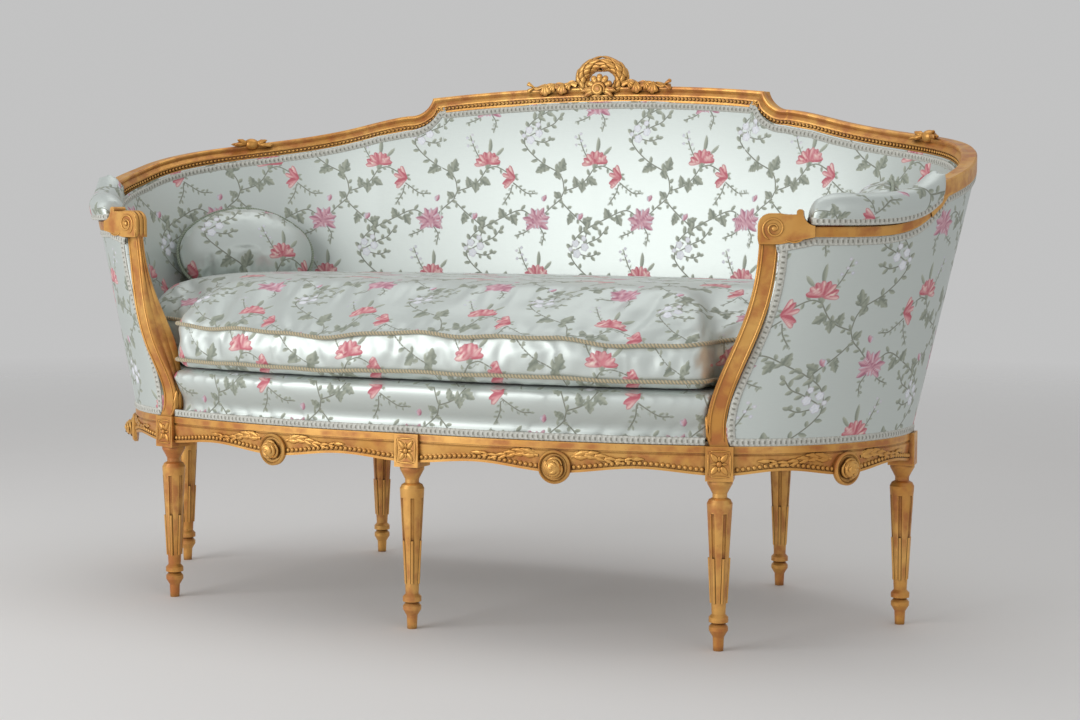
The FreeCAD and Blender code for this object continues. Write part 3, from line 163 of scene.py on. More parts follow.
def crestCentreHeight(x):
    return basket["stepZ"] + (basket["crestCentre"] - basket["stepZ"]) * (1 - (x / basket["stepX"]) ** 2)


def rimBottom(station, height):  # underside of arm rail or crest, following the step, at a depth below the top
    station = np.asarray(station, float)
    x = np.abs(rimLine.point(station)[..., 0])
    turn = basket["sweep"]
    radius = (basket["stepZ"] - basket["jointZ"]) / (1 - math.cos(turn)) + height
    cornerX = basket["stepX"] - height * math.tan(turn / 2)
    run = np.clip(cornerX + radius * math.sin(turn) - x, 0, radius)
    swept = basket["jointZ"] - height + radius - np.sqrt(radius ** 2 - run ** 2)
    back = np.where(x < cornerX, crestCentreHeight(x) - height, swept)
    side = crestTop(np.clip(station, basket["crestStart"], jointStation)) - height
    low = np.where(station <= basket["crestStart"], armTop(station), side)
    return np.where(station <= jointStation, low, back)


def frontPoint(share, out=0.0):  # the bowed front line, from the centre leg to the right-hand corner leg
    share = np.asarray(share, float)
    start = np.array([0, basket["frontY"] - basket["frontForward"]])
    end = np.array([basket["seat"][0][0], basket["frontY"]])
    chord = end - start
    span = np.linalg.norm(chord)
    square = np.array([chord[1], -chord[0]]) / span
    bow = basket["frontBow"]
    radius = (span ** 2 / 4 + bow ** 2) / (2 * bow)
    half = math.asin(span / 2 / radius)
    angle = (share - 0.5) * 2 * half
    centre = (start + end) / 2 + square * (bow - radius)
    normal = square * np.cos(angle)[..., None] + chord / span * np.sin(angle)[..., None]
    return centre + normal * (radius + out), normal


# mesh helpers

def bentGrid(name, across, along, place):
    # a flat grid whose points are moved to place(u, v), with u and v from 0 to 1
    bm = bmesh.new()
    bmesh.ops.create_grid(bm, x_segments=across, y_segments=along, size=0.5)
    mesh = bpy.data.meshes.new(name)
    bm.to_mesh(mesh)
    bm.free()
    flat = meshPoints(mesh) + 0.5
    mesh.vertices.foreach_set("co", np.ascontiguousarray(place(flat[:, 0], flat[:, 1]), float).ravel())
    return linkPiece(name, mesh)


def welded(piece, reach, mirrored=False):  # closes a strip's meeting edges
    bm = bmesh.new()
    bm.from_mesh(piece.data)
    if mirrored:
        for vert in bm.verts:
            vert.co.x = -vert.co.x
    bmesh.ops.remove_doubles(bm, verts=bm.verts, dist=reach)
    bmesh.ops.recalc_face_normals(bm, faces=bm.faces)
    bm.to_mesh(piece.data)
    bm.free()
    piece.data.shade_smooth()
    return piece


def linkPiece(name, mesh):
    mesh.shade_smooth()
    piece = bpy.data.objects.new(name, mesh)
    scene.collection.objects.link(piece)
    return piece


def meshPoints(mesh):
    flat = np.zeros(len(mesh.vertices) * 3)
    mesh.vertices.foreach_get("co", flat)
    return flat.reshape(-1, 3)


def flipIfInward(piece, outward):  # makes the mean normal agree with a direction
    normals = np.zeros(len(piece.data.polygons) * 3)
    piece.data.polygons.foreach_get("normal", normals)
    if (normals.reshape(-1, 3) * outward).sum() < 0:
        piece.data.flip_normals()


def finished(piece, body, material):
    piece.data.materials.clear()
    piece.data.materials.append(material)
    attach(piece, body)
    return piece


def applied(piece):  # bakes live modifiers into the mesh
    depsgraph = bpy.context.evaluated_depsgraph_get()
    mesh = bpy.data.meshes.new_from_object(piece.evaluated_get(depsgraph))
    piece.modifiers.clear()
    piece.data = mesh
    mesh.shade_smooth()
    return piece


def solidCopy(node, name, shrink):  # a merged copy of a soft CAD solid
    bm = bmesh.new()
    bm.from_mesh(frame["nodes"][node].data)
    bmesh.ops.remove_doubles(bm, verts=bm.verts, dist=1e-5)
    bmesh.ops.recalc_face_normals(bm, faces=bm.faces)
    bm.normal_update()
    for vert in bm.verts:
        vert.co -= vert.normal * shrink
    mesh = bpy.data.meshes.new(name)
    bm.to_mesh(mesh)
    bm.free()
    return linkPiece(name, mesh)


def remeshed(piece, voxel, smoothing):
    remesh = piece.modifiers.new("remesh", "REMESH")
    remesh.mode = "VOXEL"
    remesh.voxel_size = voxel
    relax = piece.modifiers.new("relax", "SMOOTH")
    relax.iterations = smoothing
    return applied(piece)


# silk pattern: a half-drop repeat of flowers, leaves and trailing stems, as distances in millimetres

silk = {"wide": 220.0, "tall": 225.0, "drop": 110.0, "ground": (0.83, 0.86, 0.845)}


def curvePath(points):  # a smooth line through a few places
    points = np.array(points, float)
    curve = smoothRun(np.arange(len(points)), points, points[1] - points[0], points[-1] - points[-2])
    return onRun(curve, np.linspace(0, len(points) - 1, 6 * len(points)))


class Tile:
    def __init__(self):
        self.x, self.y = np.meshgrid(np.arange(silk["wide"]), np.arange(silk["tall"]))
        far = np.full(self.x.shape, 99.0)
        self.layers = {name: far.copy() for name in ("petal", "pale", "leaf", "stemAway", "stemSide")}
        self.layers.update({name: far * 0 for name in ("petalTone", "paleTone", "leafTone")})

    def offsets(self, x, y):  # to the nearest repeat of a place
        dx, dy = self.x - x, self.y - y
        rows = np.round(dy / silk["tall"])
        dx = dx - rows * silk["drop"]
        return (dx + silk["wide"] / 2) % silk["wide"] - silk["wide"] / 2, dy - rows * silk["tall"]

    def blade(self, layer, x, y, angle, length, width, tone, club=False, bend=0.0):
        # a leaf or petal from its root, one half darker than the other
        dx, dy = self.offsets(x, y)
        c, s = math.cos(math.radians(angle)), math.sin(math.radians(angle))
        along, across = dx * c + dy * s, dy * c - dx * s
        t = np.clip(along / length, 0, 1)
        across = across - bend * length * t ** 2
        half = t ** 0.7 * np.sqrt(1 - t ** 6) if club else (4 * t * (1 - t)) ** 0.8
        beyond = np.maximum(-along, along - length)
        away = np.where(beyond > 0, np.hypot(beyond, across), np.abs(across) - half * width / 2)
        shade = tone + 0.22 * np.clip(across / 1.5, -1, 1) + 0.25 * (t - 0.5)
        self.join(layer, away, shade)

    def disc(self, layer, x, y, radius, petals, tone):
        dx, dy = self.offsets(x, y)
        theta = np.arctan2(dy, dx)
        scallop = 0.72 + 0.28 * np.abs(np.cos(theta * petals / 2)) if petals else 1.0
        self.join(layer, np.hypot(dx, dy) - radius * scallop, tone - 0.15 * np.cos(theta * petals))

    def join(self, layer, away, tone):
        nearer = away < self.layers[layer]
        self.layers[layer][nearer] = away[nearer]
        self.layers[layer + "Tone"][nearer] = np.broadcast_to(tone, away.shape)[nearer]

    def stem(self, points):
        path = curvePath(points)
        for a, b in zip(path, path[1:]):
            run = b - a
            span = np.linalg.norm(run)
            dx, dy = self.offsets(*a)
            t = np.clip((dx * run[0] + dy * run[1]) / span ** 2, 0, 1)
            away = np.hypot(dx - run[0] * t, dy - run[1] * t)
            nearer = away < self.layers["stemAway"]
            self.layers["stemAway"][nearer] = away[nearer]
            self.layers["stemSide"][nearer] = ((run[0] * dy - run[1] * dx) / span)[nearer]
        return path

    def spray(self, points, gap, length, width, layer="leaf", tone=0.5):  # a stem with leaflets on both sides
        path = self.stem(points)
        lengths = runLengths(path)
        for number, spot in enumerate(np.arange(gap, lengths[-1], gap)):
            x, y = placed(path, lengths, spot)
            ahead = placed(path, lengths, spot + 1) - placed(path, lengths, spot - 1)
            heading = math.degrees(math.atan2(ahead[1], ahead[0]))
            side = 52 if number % 2 else -52
            self.blade(layer, x, y, heading + side, length * (0.85 + 0.3 * ((number * 7) % 3) / 2), width, tone)
        tip = path[-1] - path[-2]
        self.blade(layer, *path[-1], math.degrees(math.atan2(tip[1], tip[0])), length, width, tone)

    def lobed(self, x, y, angle, size, tone=0.4):  # a rose leaf with two pairs of side lobes
        c, s = math.cos(math.radians(angle)), math.sin(math.radians(angle))
        self.blade("leaf", x, y, angle, size, size * 0.40, tone)
        for share, reach, turn in ((0.12, 0.46, 58), (0.38, 0.42, 44)):
            for side in (-1, 1):
                self.blade("leaf", x + c * size * share, y + s * size * share, angle + side * turn,
                           size * reach, size * 0.24, tone)


def drawTile():
    tile = Tile()
    # mauve flower and its buds
    for number, angle in enumerate((-38, -12, 12, 34, 58, 84, 112, 140, 166, 192, 216)):
        length = (31, 25, 29, 23)[number % 4]
        tile.blade("pale", 0, 0, angle, length, 10.5, 0.22 + 0.2 * (number % 2), bend=0.08)
    for angle in (225, 255, 285, 315):
        tile.blade("pale", 0, 0, angle, 17, 8.5, 0.42)
    tile.disc("leaf", 1, 2, 5.5, 5, 0.55)
    tile.blade("pale", 12, 38, 72, 15, 8, 0.3)
    tile.blade("pale", 13, 38, 110, 12, 7, 0.5)
    # carnation: two fans of toothed petals
    for reach, spread, count, tone in ((27, 84, 8, 0.25), (21, 66, 6, 0.7), (13, 44, 4, 0.4)):
        for number in range(count):
            angle = 96 - spread + 2 * spread * number / (count - 1)
            tile.blade("petal", 114, 112, angle, reach, reach * 0.42, tone + 0.3 * (number % 2), True)
    tile.blade("leaf", 113, 101, 94, 15, 7.5, 0.5)
    # tulip
    for angle, tone in ((168, 0.55), (196, 0.2), (140, 0.25), (215, 0.6), (124, 0.7)):
        tile.blade("petal", 172, 84, angle, 29, 11, tone, tone > 0.5, 0.1 if angle > 168 else -0.1)
    # white blossom cluster
    for x, y, radius in ((-22, 161, 9), (-6, 174, 8.5), (-26, 181, 8), (-9, 191, 6), (-36, 170, 5)):
        tile.disc("pale", x, y, radius, 5, 0.9)
        tile.disc("leaf", x, y, 2.0, 0, 0.8)
    # second bud
    tile.blade("pale", 88, 2, 62, 16, 9, 0.35)
    tile.blade("pale", 88, 2, 96, 13, 8, 0.55)
    # the vine
    tile.spray([(10, 8), (30, 28), (46, 42), (54, 59)], 9, 12, 5.5)
    tile.spray([(54, 59), (76, 66), (97, 80), (113, 104)], 10, 13, 6)
    tile.spray([(112, 103), (128, 108), (148, 100), (170, 86)], 10, 11, 5)
    tile.spray([(54, 59), (50, 80), (36, 98), (10, 112), (-20, 136), (-33, 152)], 15, 14, 7)
    tile.spray([(-33, 152), (-34, 172), (-20, 198), (10, 218)], 9, 15, 8)
    tile.spray([(10, 218), (40, 232), (76, 246), (100, 234)], 12, 13, 6.5)
    tile.spray([(46, 42), (66, 22), (88, 4), (106, -14), (104, -34)], 11, 12, 6)
    tile.spray([(-22, 170), (4, 184), (22, 192), (34, 206)], 9, 13, 7)
    tile.spray([(-16, 160), (4, 156), (18, 160)], 8, 12, 6.5)
    # ferns and a sprig of tiny florets
    tile.spray([(170, 74), (186, 62), (200, 54), (212, 54)], 5.5, 10, 4)
    tile.spray([(166, 70), (162, 54), (152, 38)], 5.5, 10, 4)
    tile.spray([(-8, -10), (-22, -22), (-38, -28)], 5.5, 9, 4)
    tile.spray([(8, -14), (16, -28), (14, -42)], 5.5, 9, 4)
    tile.spray([(102, 118), (88, 140), (78, 164)], 6, 9, 3.5, "leaf", 0.7)
    for x, y in ((72, 150), (82, 158), (70, 166), (80, 172), (90, 148)):
        tile.disc("pale", x, y, 3.4, 4, 0.85)
    tile.blade("leaf", 116, 132, 80, 34, 8, 0.5, bend=0.15)
    tile.blade("leaf", 128, 128, 40, 26, 7, 0.6, bend=0.12)
    for x, y, angle, size in ((44, 96, 80, 30), (14, 110, 215, 27), (34, 100, 300, 22), (94, 78, 262, 24),
                              (100, 84, 330, 26), (80, 68, 110, 22), (42, 230, 118, 24), (56, 238, 300, 26),
                              (74, 14, 250, 24), (96, -4, 28, 24), (46, 44, 132, 20)):
        tile.lobed(x, y, angle, size)
    return tile.layers


silkTile = drawTile()
print("silk drawn")


def weavePattern(piece, u, v):  # gives a mesh the pattern's distances at places on the cloth, in metres
    u, v = u * 1000, v * 1000
    row = np.floor(v / silk["tall"])
    x, y = (u - row * silk["drop"]) % silk["wide"], v - row * silk["tall"]
    x0, y0 = np.floor(x).astype(int), np.floor(y).astype(int)
    fx, fy = x - x0, y - y0
    columns = int(silk["wide"])
    for layer, field in silkTile.items():
        field = np.vstack([field, np.roll(field[:1], int(silk["drop"]), axis=1)])
        left, right = x0 % columns, (x0 + 1) % columns
        low = field[y0, left] * (1 - fx) + field[y0, right] * fx
        high = field[y0 + 1, left] * (1 - fx) + field[y0 + 1, right] * fx
        values = low * (1 - fy) + high * fy
        piece.data.attributes.new(layer, "FLOAT", "POINT").data.foreach_set("value", values.astype(np.float32))
    spreadCloth(piece, u / 1000, v / 1000)


def spreadCloth(piece, u, v):  # cloth coordinates per corner from values per point
    uvMap = piece.data.uv_layers.new(name="cloth")
    corners = np.zeros(len(piece.data.loops), np.int32)
    piece.data.loops.foreach_get("vertex_index", corners)
    uvMap.data.foreach_set("uv", np.stack([u[corners], v[corners]], -1).astype(np.float32).ravel())


# materials

class Nodes:  # short calls for building a node tree
    def __init__(self, name):
        self.material = bpy.data.materials.new(name)
        self.material.use_nodes = True
        self.tree = self.material.node_tree
        self.shader = self.tree.nodes["Principled BSDF"]

    def add(self, kind, inputs=(), **settings):
        node = self.tree.nodes.new(kind)
        for key, value in settings.items():
            setattr(node, key, value)
        for key, value in dict(inputs).items():
            self.feed(node.inputs[key], value)
        return node

    def feed(self, socket, value):
        if isinstance(value, bpy.types.NodeSocket):
            self.tree.links.new(value, socket)
        else:
            socket.default_value = value

    def math(self, operation, a, b=0.0):
        return self.add("ShaderNodeMath", {0: a, 1: b}, operation=operation).outputs[0]

    def step(self, value, low, high, start=0.0, end=1.0):
        node = self.add("ShaderNodeMapRange", {0: value, 1: low, 2: high, 3: start, 4: end})
        return node.outputs[0]

    def mix(self, share, a, b):
        node = self.add("ShaderNodeMix", data_type="RGBA")
        self.feed(node.inputs[0], share)
        self.feed(node.inputs[6], a)
        self.feed(node.inputs[7], b)
        return node.outputs[2]

    def attribute(self, name):
        return self.add("ShaderNodeAttribute", attribute_name=name).outputs["Fac"]

    def noise(self, vector, scale, detail=3.0, rough=0.5):
        inputs = {"Vector": vector, "Scale": scale, "Detail": detail, "Roughness": rough}
        return self.add("ShaderNodeTexNoise", inputs).outputs["Fac"]

    def bump(self, height, strength, distance, normal=None):
        node = self.add("ShaderNodeBump", {"Strength": strength, "Distance": distance, "Height": height})
        if normal is not None:
            self.feed(node.inputs["Normal"], normal)
        return node.outputs["Normal"]


def rgb(r, g, b):  # a display colour as the shader's linear one
    return tuple(c / 12.92 if c <= 0.04045 else ((c + 0.055) / 1.055) ** 2.4 for c in (r, g, b)) + (1.0,)


def giltMaterial(name):
    n = Nodes(name)
    place = n.add("ShaderNodeTexCoord").outputs["Object"]
    broad = n.noise(place, 9.0, 3.0)
    fine = n.noise(place, 150.0, 4.0, 0.6)
    crevice = n.add("ShaderNodeAmbientOcclusion", {"Distance": 0.010}, samples=6).outputs["AO"]
    edge = n.add("ShaderNodeAmbientOcclusion", {"Distance": 0.004}, samples=6, inside=True).outputs["AO"]
    colour = n.mix(n.step(broad, 0.35, 0.65), rgb(0.83, 0.59, 0.29), rgb(0.92, 0.71, 0.40))
    worn = n.math("MULTIPLY", n.step(edge, 0.60, 0.85), n.step(n.noise(place, 34.0, 4.0), 0.42, 0.62))
    colour = n.mix(n.math("MULTIPLY", worn, 0.65), colour, rgb(0.66, 0.34, 0.17))
    # painted shade: the gilt's colour darkens to dark brown where ambient occlusion finds crevices and recesses
    paintedCreviceShade = n.step(crevice, 0.90, 0.35, 0.0, 0.8)
    colour = n.mix(paintedCreviceShade, colour, rgb(0.30, 0.18, 0.07))
    chips = n.step(n.noise(place, 260.0, 2.0), 0.70, 0.76, 0.0, 0.35)
    colour = n.mix(chips, colour, rgb(0.50, 0.28, 0.13))
    n.feed(n.shader.inputs["Base Color"], colour)
    n.feed(n.shader.inputs["Metallic"], n.step(worn, 0.0, 1.0, 0.55, 0.25))
    n.feed(n.shader.inputs["Roughness"], n.step(fine, 0.25, 0.75, 0.28, 0.46))
    n.feed(n.shader.inputs["Normal"], n.bump(fine, 0.15, 0.0006))
    return n.material


def silkMaterial(name, ground):
    n = Nodes(name)
    cloth = n.add("ShaderNodeUVMap", uv_map="cloth").outputs["UV"]
    weft = n.add("ShaderNodeMapping", {"Vector": cloth, "Scale": (45.0, 1100.0, 1.0)}).outputs["Vector"]
    slub = n.noise(weft, 1.0, 2.0)
    feather = n.math("MULTIPLY", n.math("SUBTRACT", slub, 0.5), 2.2)

    def layer(name, soft=0.7):  # share of a motif, its edges ragged along the weft
        return n.step(n.math("ADD", n.attribute(name), feather), soft, -soft)

    colour = n.mix(n.math("MULTIPLY", slub, 0.3), ground, tuple(c * 0.82 for c in ground[:3]) + (1.0,))
    stem = n.step(n.math("ABSOLUTE", n.attribute("stemSide")), 1.5, 0.7)
    stem = n.math("MULTIPLY", stem, n.step(n.attribute("stemAway"), 4.0, 2.0, 0.0, 0.9))
    colour = n.mix(stem, colour, rgb(0.50, 0.51, 0.45))
    leaf = layer("leaf")
    leaves = n.mix(n.step(n.attribute("leafTone"), 0.15, 0.85), rgb(0.48, 0.51, 0.46), rgb(0.72, 0.74, 0.67))
    colour = n.mix(n.math("MULTIPLY", leaf, 0.95), colour, leaves)
    pale = layer("pale")
    pales = n.add("ShaderNodeValToRGB", {"Fac": n.attribute("paleTone")})
    ramp(pales, [(0.1, rgb(0.72, 0.47, 0.55)), (0.45, rgb(0.87, 0.70, 0.74)), (0.68, rgb(0.84, 0.86, 0.90)),
                 (0.95, rgb(0.93, 0.94, 0.96))])
    rim = n.step(n.attribute("pale"), -1.8, -0.4, 0.0, 0.35)
    colour = n.mix(pale, colour, n.mix(rim, pales.outputs["Color"], rgb(0.60, 0.52, 0.58)))
    petal = layer("petal")
    petals = n.add("ShaderNodeValToRGB", {"Fac": n.attribute("petalTone")})
    ramp(petals, [(0.15, rgb(0.76, 0.40, 0.45)), (0.45, rgb(0.86, 0.60, 0.62)), (0.75, rgb(0.93, 0.80, 0.78)),
                  (1.0, rgb(0.95, 0.89, 0.84))])
    rim = n.step(n.attribute("petal"), -2.6, -0.6, 0.0, 0.75)
    colour = n.mix(petal, colour, n.mix(rim, petals.outputs["Color"], rgb(0.76, 0.38, 0.44)))
    n.feed(n.shader.inputs["Base Color"], colour)
    woven = n.math("MAXIMUM", n.math("MAXIMUM", petal, pale), n.math("MAXIMUM", leaf, stem))
    n.feed(n.shader.inputs["Metallic"], n.step(woven, 0.0, 1.0, 0.55, 0.10))
    n.feed(n.shader.inputs["Roughness"], n.step(woven, 0.0, 1.0, 0.46, 0.56))
    n.shader.inputs["Sheen Weight"].default_value = 0.12
    n.shader.inputs["Sheen Roughness"].default_value = 0.3
    raised = n.math("ADD", woven, n.math("MULTIPLY", slub, 0.5))
    n.feed(n.shader.inputs["Normal"], n.bump(raised, 0.3, 0.0005))
    return n.material


def ramp(node, stops):
    elements = node.color_ramp.elements
    while len(elements) < len(stops):
        elements.new(0.5)
    for element, (place, colour) in zip(elements, stops):
        element.position = place
        element.color = colour


def braidMaterial(name):  # cream and grey-green gimp with dark ticks, patterned along its length in metres
    n = Nodes(name)
    uv = n.add("ShaderNodeUVMap", uv_map="cloth").outputs["UV"]
    along = n.add("ShaderNodeSeparateXYZ", {0: uv})
    beat = n.math("SINE", n.math("MULTIPLY", along.outputs[0], 2 * math.pi / 0.0085))
    across = n.math("ABSOLUTE", along.outputs[1])
    ticks = n.math("MULTIPLY", n.step(beat, 0.2, 0.8), n.step(across, 0.55, 0.3))
    colour = n.mix(n.step(n.noise(n.add("ShaderNodeTexCoord").outputs["Object"], 300.0), 0.3, 0.7),
                   rgb(0.72, 0.72, 0.68), rgb(0.85, 0.85, 0.82))
    colour = n.mix(n.math("MULTIPLY", ticks, 0.75), colour, rgb(0.42, 0.41, 0.36))
    colour = n.mix(n.math("MULTIPLY", n.step(across, 0.85, 0.98), 0.5), colour, rgb(0.45, 0.44, 0.38))
    n.feed(n.shader.inputs["Base Color"], colour)
    n.shader.inputs["Roughness"].default_value = 0.7
    n.shader.inputs["Sheen Weight"].default_value = 0.2
    height = n.math("ADD", beat, n.math("MULTIPLY", across, -1.0))
    n.feed(n.shader.inputs["Normal"], n.bump(height, 0.5, 0.0012))
    return n.material


def cordMaterial(name, first, second):  # two-colour twist, striped by the cord's own strands
    n = Nodes(name)
    uv = n.add("ShaderNodeUVMap", uv_map="cloth").outputs["UV"]
    along = n.add("ShaderNodeSeparateXYZ", {0: uv})
    strand = n.math("SINE", n.math("MULTIPLY", along.outputs[1], 2 * math.pi * 2))
    fibre = n.math("SINE", n.math("MULTIPLY", along.outputs[1], 2 * math.pi * 16))
    colour = n.mix(n.step(strand, -0.25, 0.25), first, second)
    colour = n.mix(n.step(fibre, 0.2, 1.0, 0.0, 0.25), colour, rgb(0.30, 0.27, 0.20))
    n.feed(n.shader.inputs["Base Color"], colour)
    n.shader.inputs["Roughness"].default_value = 0.55
    n.shader.inputs["Sheen Weight"].default_value = 0.3
    n.feed(n.shader.inputs["Normal"], n.bump(fibre, 0.3, 0.0005))
    return n.material


def plainClothMaterial(name, colour, scale):
    n = Nodes(name)
    place = n.add("ShaderNodeTexCoord").outputs["Object"]
    thread = n.noise(place, scale, 3.0)
    n.feed(n.shader.inputs["Base Color"],
           n.mix(n.step(thread, 0.3, 0.7), colour, tuple(c * 0.7 for c in colour[:3]) + (1.0,)))
    n.shader.inputs["Roughness"].default_value = 0.9
    n.feed(n.shader.inputs["Normal"], n.bump(thread, 0.4, 0.001))
    return n.material


def beechMaterial(name):
    n = Nodes(name)
    place = n.add("ShaderNodeTexCoord").outputs["Object"]
    drawn = n.add("ShaderNodeMapping", {"Vector": place, "Scale": (60.0, 60.0, 8.0)}).outputs["Vector"]
    grain = n.noise(drawn, 1.0, 4.0)
    colour = n.mix(n.step(grain, 0.3, 0.7), rgb(0.70, 0.56, 0.40), rgb(0.56, 0.41, 0.27))
    n.feed(n.shader.inputs["Base Color"], colour)
    n.shader.inputs["Roughness"].default_value = 0.65
    n.feed(n.shader.inputs["Normal"], n.bump(grain, 0.2, 0.001))
    return n.material


def steelMaterial(name):
    n = Nodes(name)
    scratch = n.noise(n.add("ShaderNodeTexCoord").outputs["Object"], 500.0)
    n.feed(n.shader.inputs["Base Color"], n.mix(scratch, rgb(0.55, 0.54, 0.52), rgb(0.72, 0.71, 0.69)))
    n.shader.inputs["Metallic"].default_value = 1.0
    n.feed(n.shader.inputs["Roughness"], n.step(scratch, 0.0, 1.0, 0.3, 0.5))
    return n.material


gilt = giltMaterial("giltwood")
silkCloth = silkMaterial("floralSilk", rgb(*silk["ground"]))
braid = braidMaterial("gimpBraid")
cushionCord = cordMaterial("twistedCord", rgb(0.80, 0.73, 0.58), rgb(0.58, 0.57, 0.50))
pillowCord = cordMaterial("pillowPiping", rgb(0.62, 0.66, 0.58), rgb(0.52, 0.57, 0.50))
print("materials made")

# upholstery of the walls

walls = {"padEdge": 0.004, "padCrown": 0.016, "padLow": 0.394, "cell": 0.0031, "tall": 0.45, "midHeight": 0.55,
         "postTuck": 0.012, "armRun": 0.385, "sway": 0.0135, "swayPower": 0.75, "turnIn": 0.011,
         "handLow": 0.632, "handRise": 0.011, "handStart": 0.0165, "handRun": 0.0525,
         "clothRise": 1.02, "centre": (0, 0.05, 0.5)}


def postSway(z):  # how far the arm post leans back at a height
    share = np.clip((np.asarray(z) - basket["railTop"]) / (basket["handTop"] - basket["railTop"]), 0, 1)
    return -walls["sway"] * np.sin(2 * math.pi * share ** walls["swayPower"])


def postStation(z, extra=0.0):  # station just inside the post's back edge
    return np.clip((postSway(z) + walls["postTuck"] + extra) / walls["armRun"], 0.0, 1)


def wallRuns(count=400):
    stations = np.linspace(0, 4, count)
    return stations, runLengths(wallPoint(stations, walls["midHeight"], 0.0))


wallStations, wallLengths = wallRuns()


def clothPlace(station, z, side):  # where a wall point lies on the cloth, from the middle of the back
    around = (wallLengths[-1] - np.interp(station, wallStations, wallLengths)) * side
    return around, z * walls["clothRise"]


def wallPanel(name, first, last, low, high, offset, bothSides, side, outward):
    start, end = np.interp((first, last), wallStations, wallLengths)
    across = int((end - start) * (2 if bothSides else 1) / walls["cell"])
    along = int(walls["tall"] / walls["cell"])
    kept = {}

    def place(u, v):
        if bothSides:
            sign = np.where(u < 0.5, 1.0, -1.0)
            share = 1 - np.abs(2 * u - 1)
        else:
            sign = np.full(u.shape, float(side))
            share = u
        station = np.interp(start + (end - start) * share, wallLengths, wallStations)
        bottom, top = low(station), high(station)
        z = bottom + (top - bottom) * v
        if first == 0:
            station = station + postStation(z) * np.clip(1 - station / 0.5, 0, 1)
            top = high(station)
            z = bottom + (top - bottom) * v
        face = offset(station, z)
        if first == 0:  # the front edge turns in behind the post
            face = face - outward * walls["turnIn"] * (share < 1e-6)
        spot = wallPoint(station, z, face)
        spot[:, 0] *= sign
        kept["cloth"] = clothPlace(station, z, sign)
        return spot

    piece = bentGrid(name, across, along, place)
    weavePattern(piece, *kept["cloth"])
    centres = np.zeros(len(piece.data.polygons) * 3)
    piece.data.polygons.foreach_get("center", centres)
    flipIfInward(piece, (centres.reshape(-1, 3) - walls["centre"]) * outward)
    return piece


padReach = graph([(0, 0.662), (0.72, 0.700), (1, 0.728), (2, 0.786), (jointStation - 0.12, 0.852),
                  (jointStation + 0.12, 0.876), (4, 0.893)])


def insideOffset(station, z):  # the stuffing swells between the seat and the rim
    rise = np.clip((z - walls["padLow"]) / (padReach(station) - walls["padLow"]), 0, 1)
    crown = 1 - np.abs(2 * rise - 1) ** 2.4
    return basket["padFace"] - walls["padEdge"] - walls["padCrown"] * crown


def outsideOffset(station, z):
    return np.full(station.shape, basket["coverFace"] - 0.0006)


def padTop(station):
    return rimBottom(station, basket["crestHeight"]) + 0.002


def coverTop(station):
    drop = np.where(station <= basket["crestStart"], basket["armRail"], 0.0)
    top = rimBottom(station, basket["crestBackHeight"]) - drop + 0.001
    run = np.clip((station * walls["armRun"] - walls["handStart"]) / walls["handRun"], 0, 1)
    hand = walls["handLow"] + walls["handRise"] * run + np.where(run >= 1, 1.0, 0.0)
    return np.minimum(top, hand)


def makeWalls():
    padLow = lambda station: np.full(station.shape, walls["padLow"])
    coverLow = lambda station: np.full(station.shape, basket["railTop"])
    panels = [("Arm" + label, "arm", "_" + label.lower(), 0, 2.0, False, side)
              for side, label in ((1, "Right"), (-1, "Left"))] + [("Back", "back", "", 2.0, 4.0, True, 1)]
    for name, node, ending, first, last, bothSides, side in panels:
        pad = wallPanel("inside" + name, first, last, padLow, padTop, insideOffset, bothSides, side, -1)
        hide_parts("inside_" + node + "_pad" + ending)
        finished(pad, "frame", silkCloth)
        cover = wallPanel("outside" + name, first, last, coverLow, coverTop, outsideOffset, bothSides, side, 1)
        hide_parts("outside_" + node + "_cover" + ending)
        finished(cover, "frame", silkCloth)
    print("walls upholstered")


makeWalls()


# cushions: copies of the soft solids, filled by cloth simulation between their pinned seams

cushions = {
    "seat": {"voxel": 0.0095, "smoothing": 2, "seams": (0.421, 0.482), "seamReach": 0.008,
             "pressure": 3.0, "grow": -0.035, "cap": 0.012, "frames": 16,
             "cordStep": 0.0022, "cord": 0.0037, "twist": 0.0115, "crown": 0.556,
             "waves": ((0.0045, 10.1, 0.6), (0.0030, 23.3, 2.1), (0.0015, 51.0, 0.0)), "sag": 0.002},
    "pillow": {"voxel": 0.0055, "smoothing": 3, "seamReach": 0.0055,
               "pressure": 4.0, "grow": -0.05, "cap": 0.012, "frames": 18,
               "cordStep": 0.0018, "cord": 0.0036, "twist": 0.010},
}


def plump(piece, pinned, plan):  # fills a piece by cloth pressure, held at its seams
    group = piece.vertex_groups.new(name="seams")
    group.add([int(i) for i in np.nonzero(pinned)[0]], 1.0, "REPLACE")
    start = meshPoints(piece.data)
    cloth = piece.modifiers.new("filling", "CLOTH")
    settings = cloth.settings
    settings.quality = 4
    settings.mass = 0.25
    settings.tension_stiffness = 12
    settings.compression_stiffness = 12
    settings.shear_stiffness = 4
    settings.bending_stiffness = 0.3
    settings.use_pressure = True
    settings.uniform_pressure_force = plan["pressure"]
    settings.shrink_min = plan["grow"]
    settings.vertex_group_mass = "seams"
    settings.effector_weights.gravity = 0
    for number in range(1, plan["frames"] + 1):
        scene.frame_set(number)
    depsgraph = bpy.context.evaluated_depsgraph_get()
    swollen = piece.evaluated_get(depsgraph).to_mesh()
    moved = meshPoints(swollen)
    piece.evaluated_get(depsgraph).to_mesh_clear()
    piece.modifiers.clear()
    scene.frame_set(1)
    shift = moved - start
    reach = np.linalg.norm(shift, axis=1, keepdims=True)
    start = start + shift * np.minimum(1, plan["cap"] / np.maximum(reach, 1e-9))
    piece.data.vertices.foreach_set("co", start.ravel())
    piece.data.update()


def subdivided(piece):
    surface = piece.modifiers.new("smooth", "SUBSURF")
    surface.levels = surface.render_levels = 1
    return applied(piece)


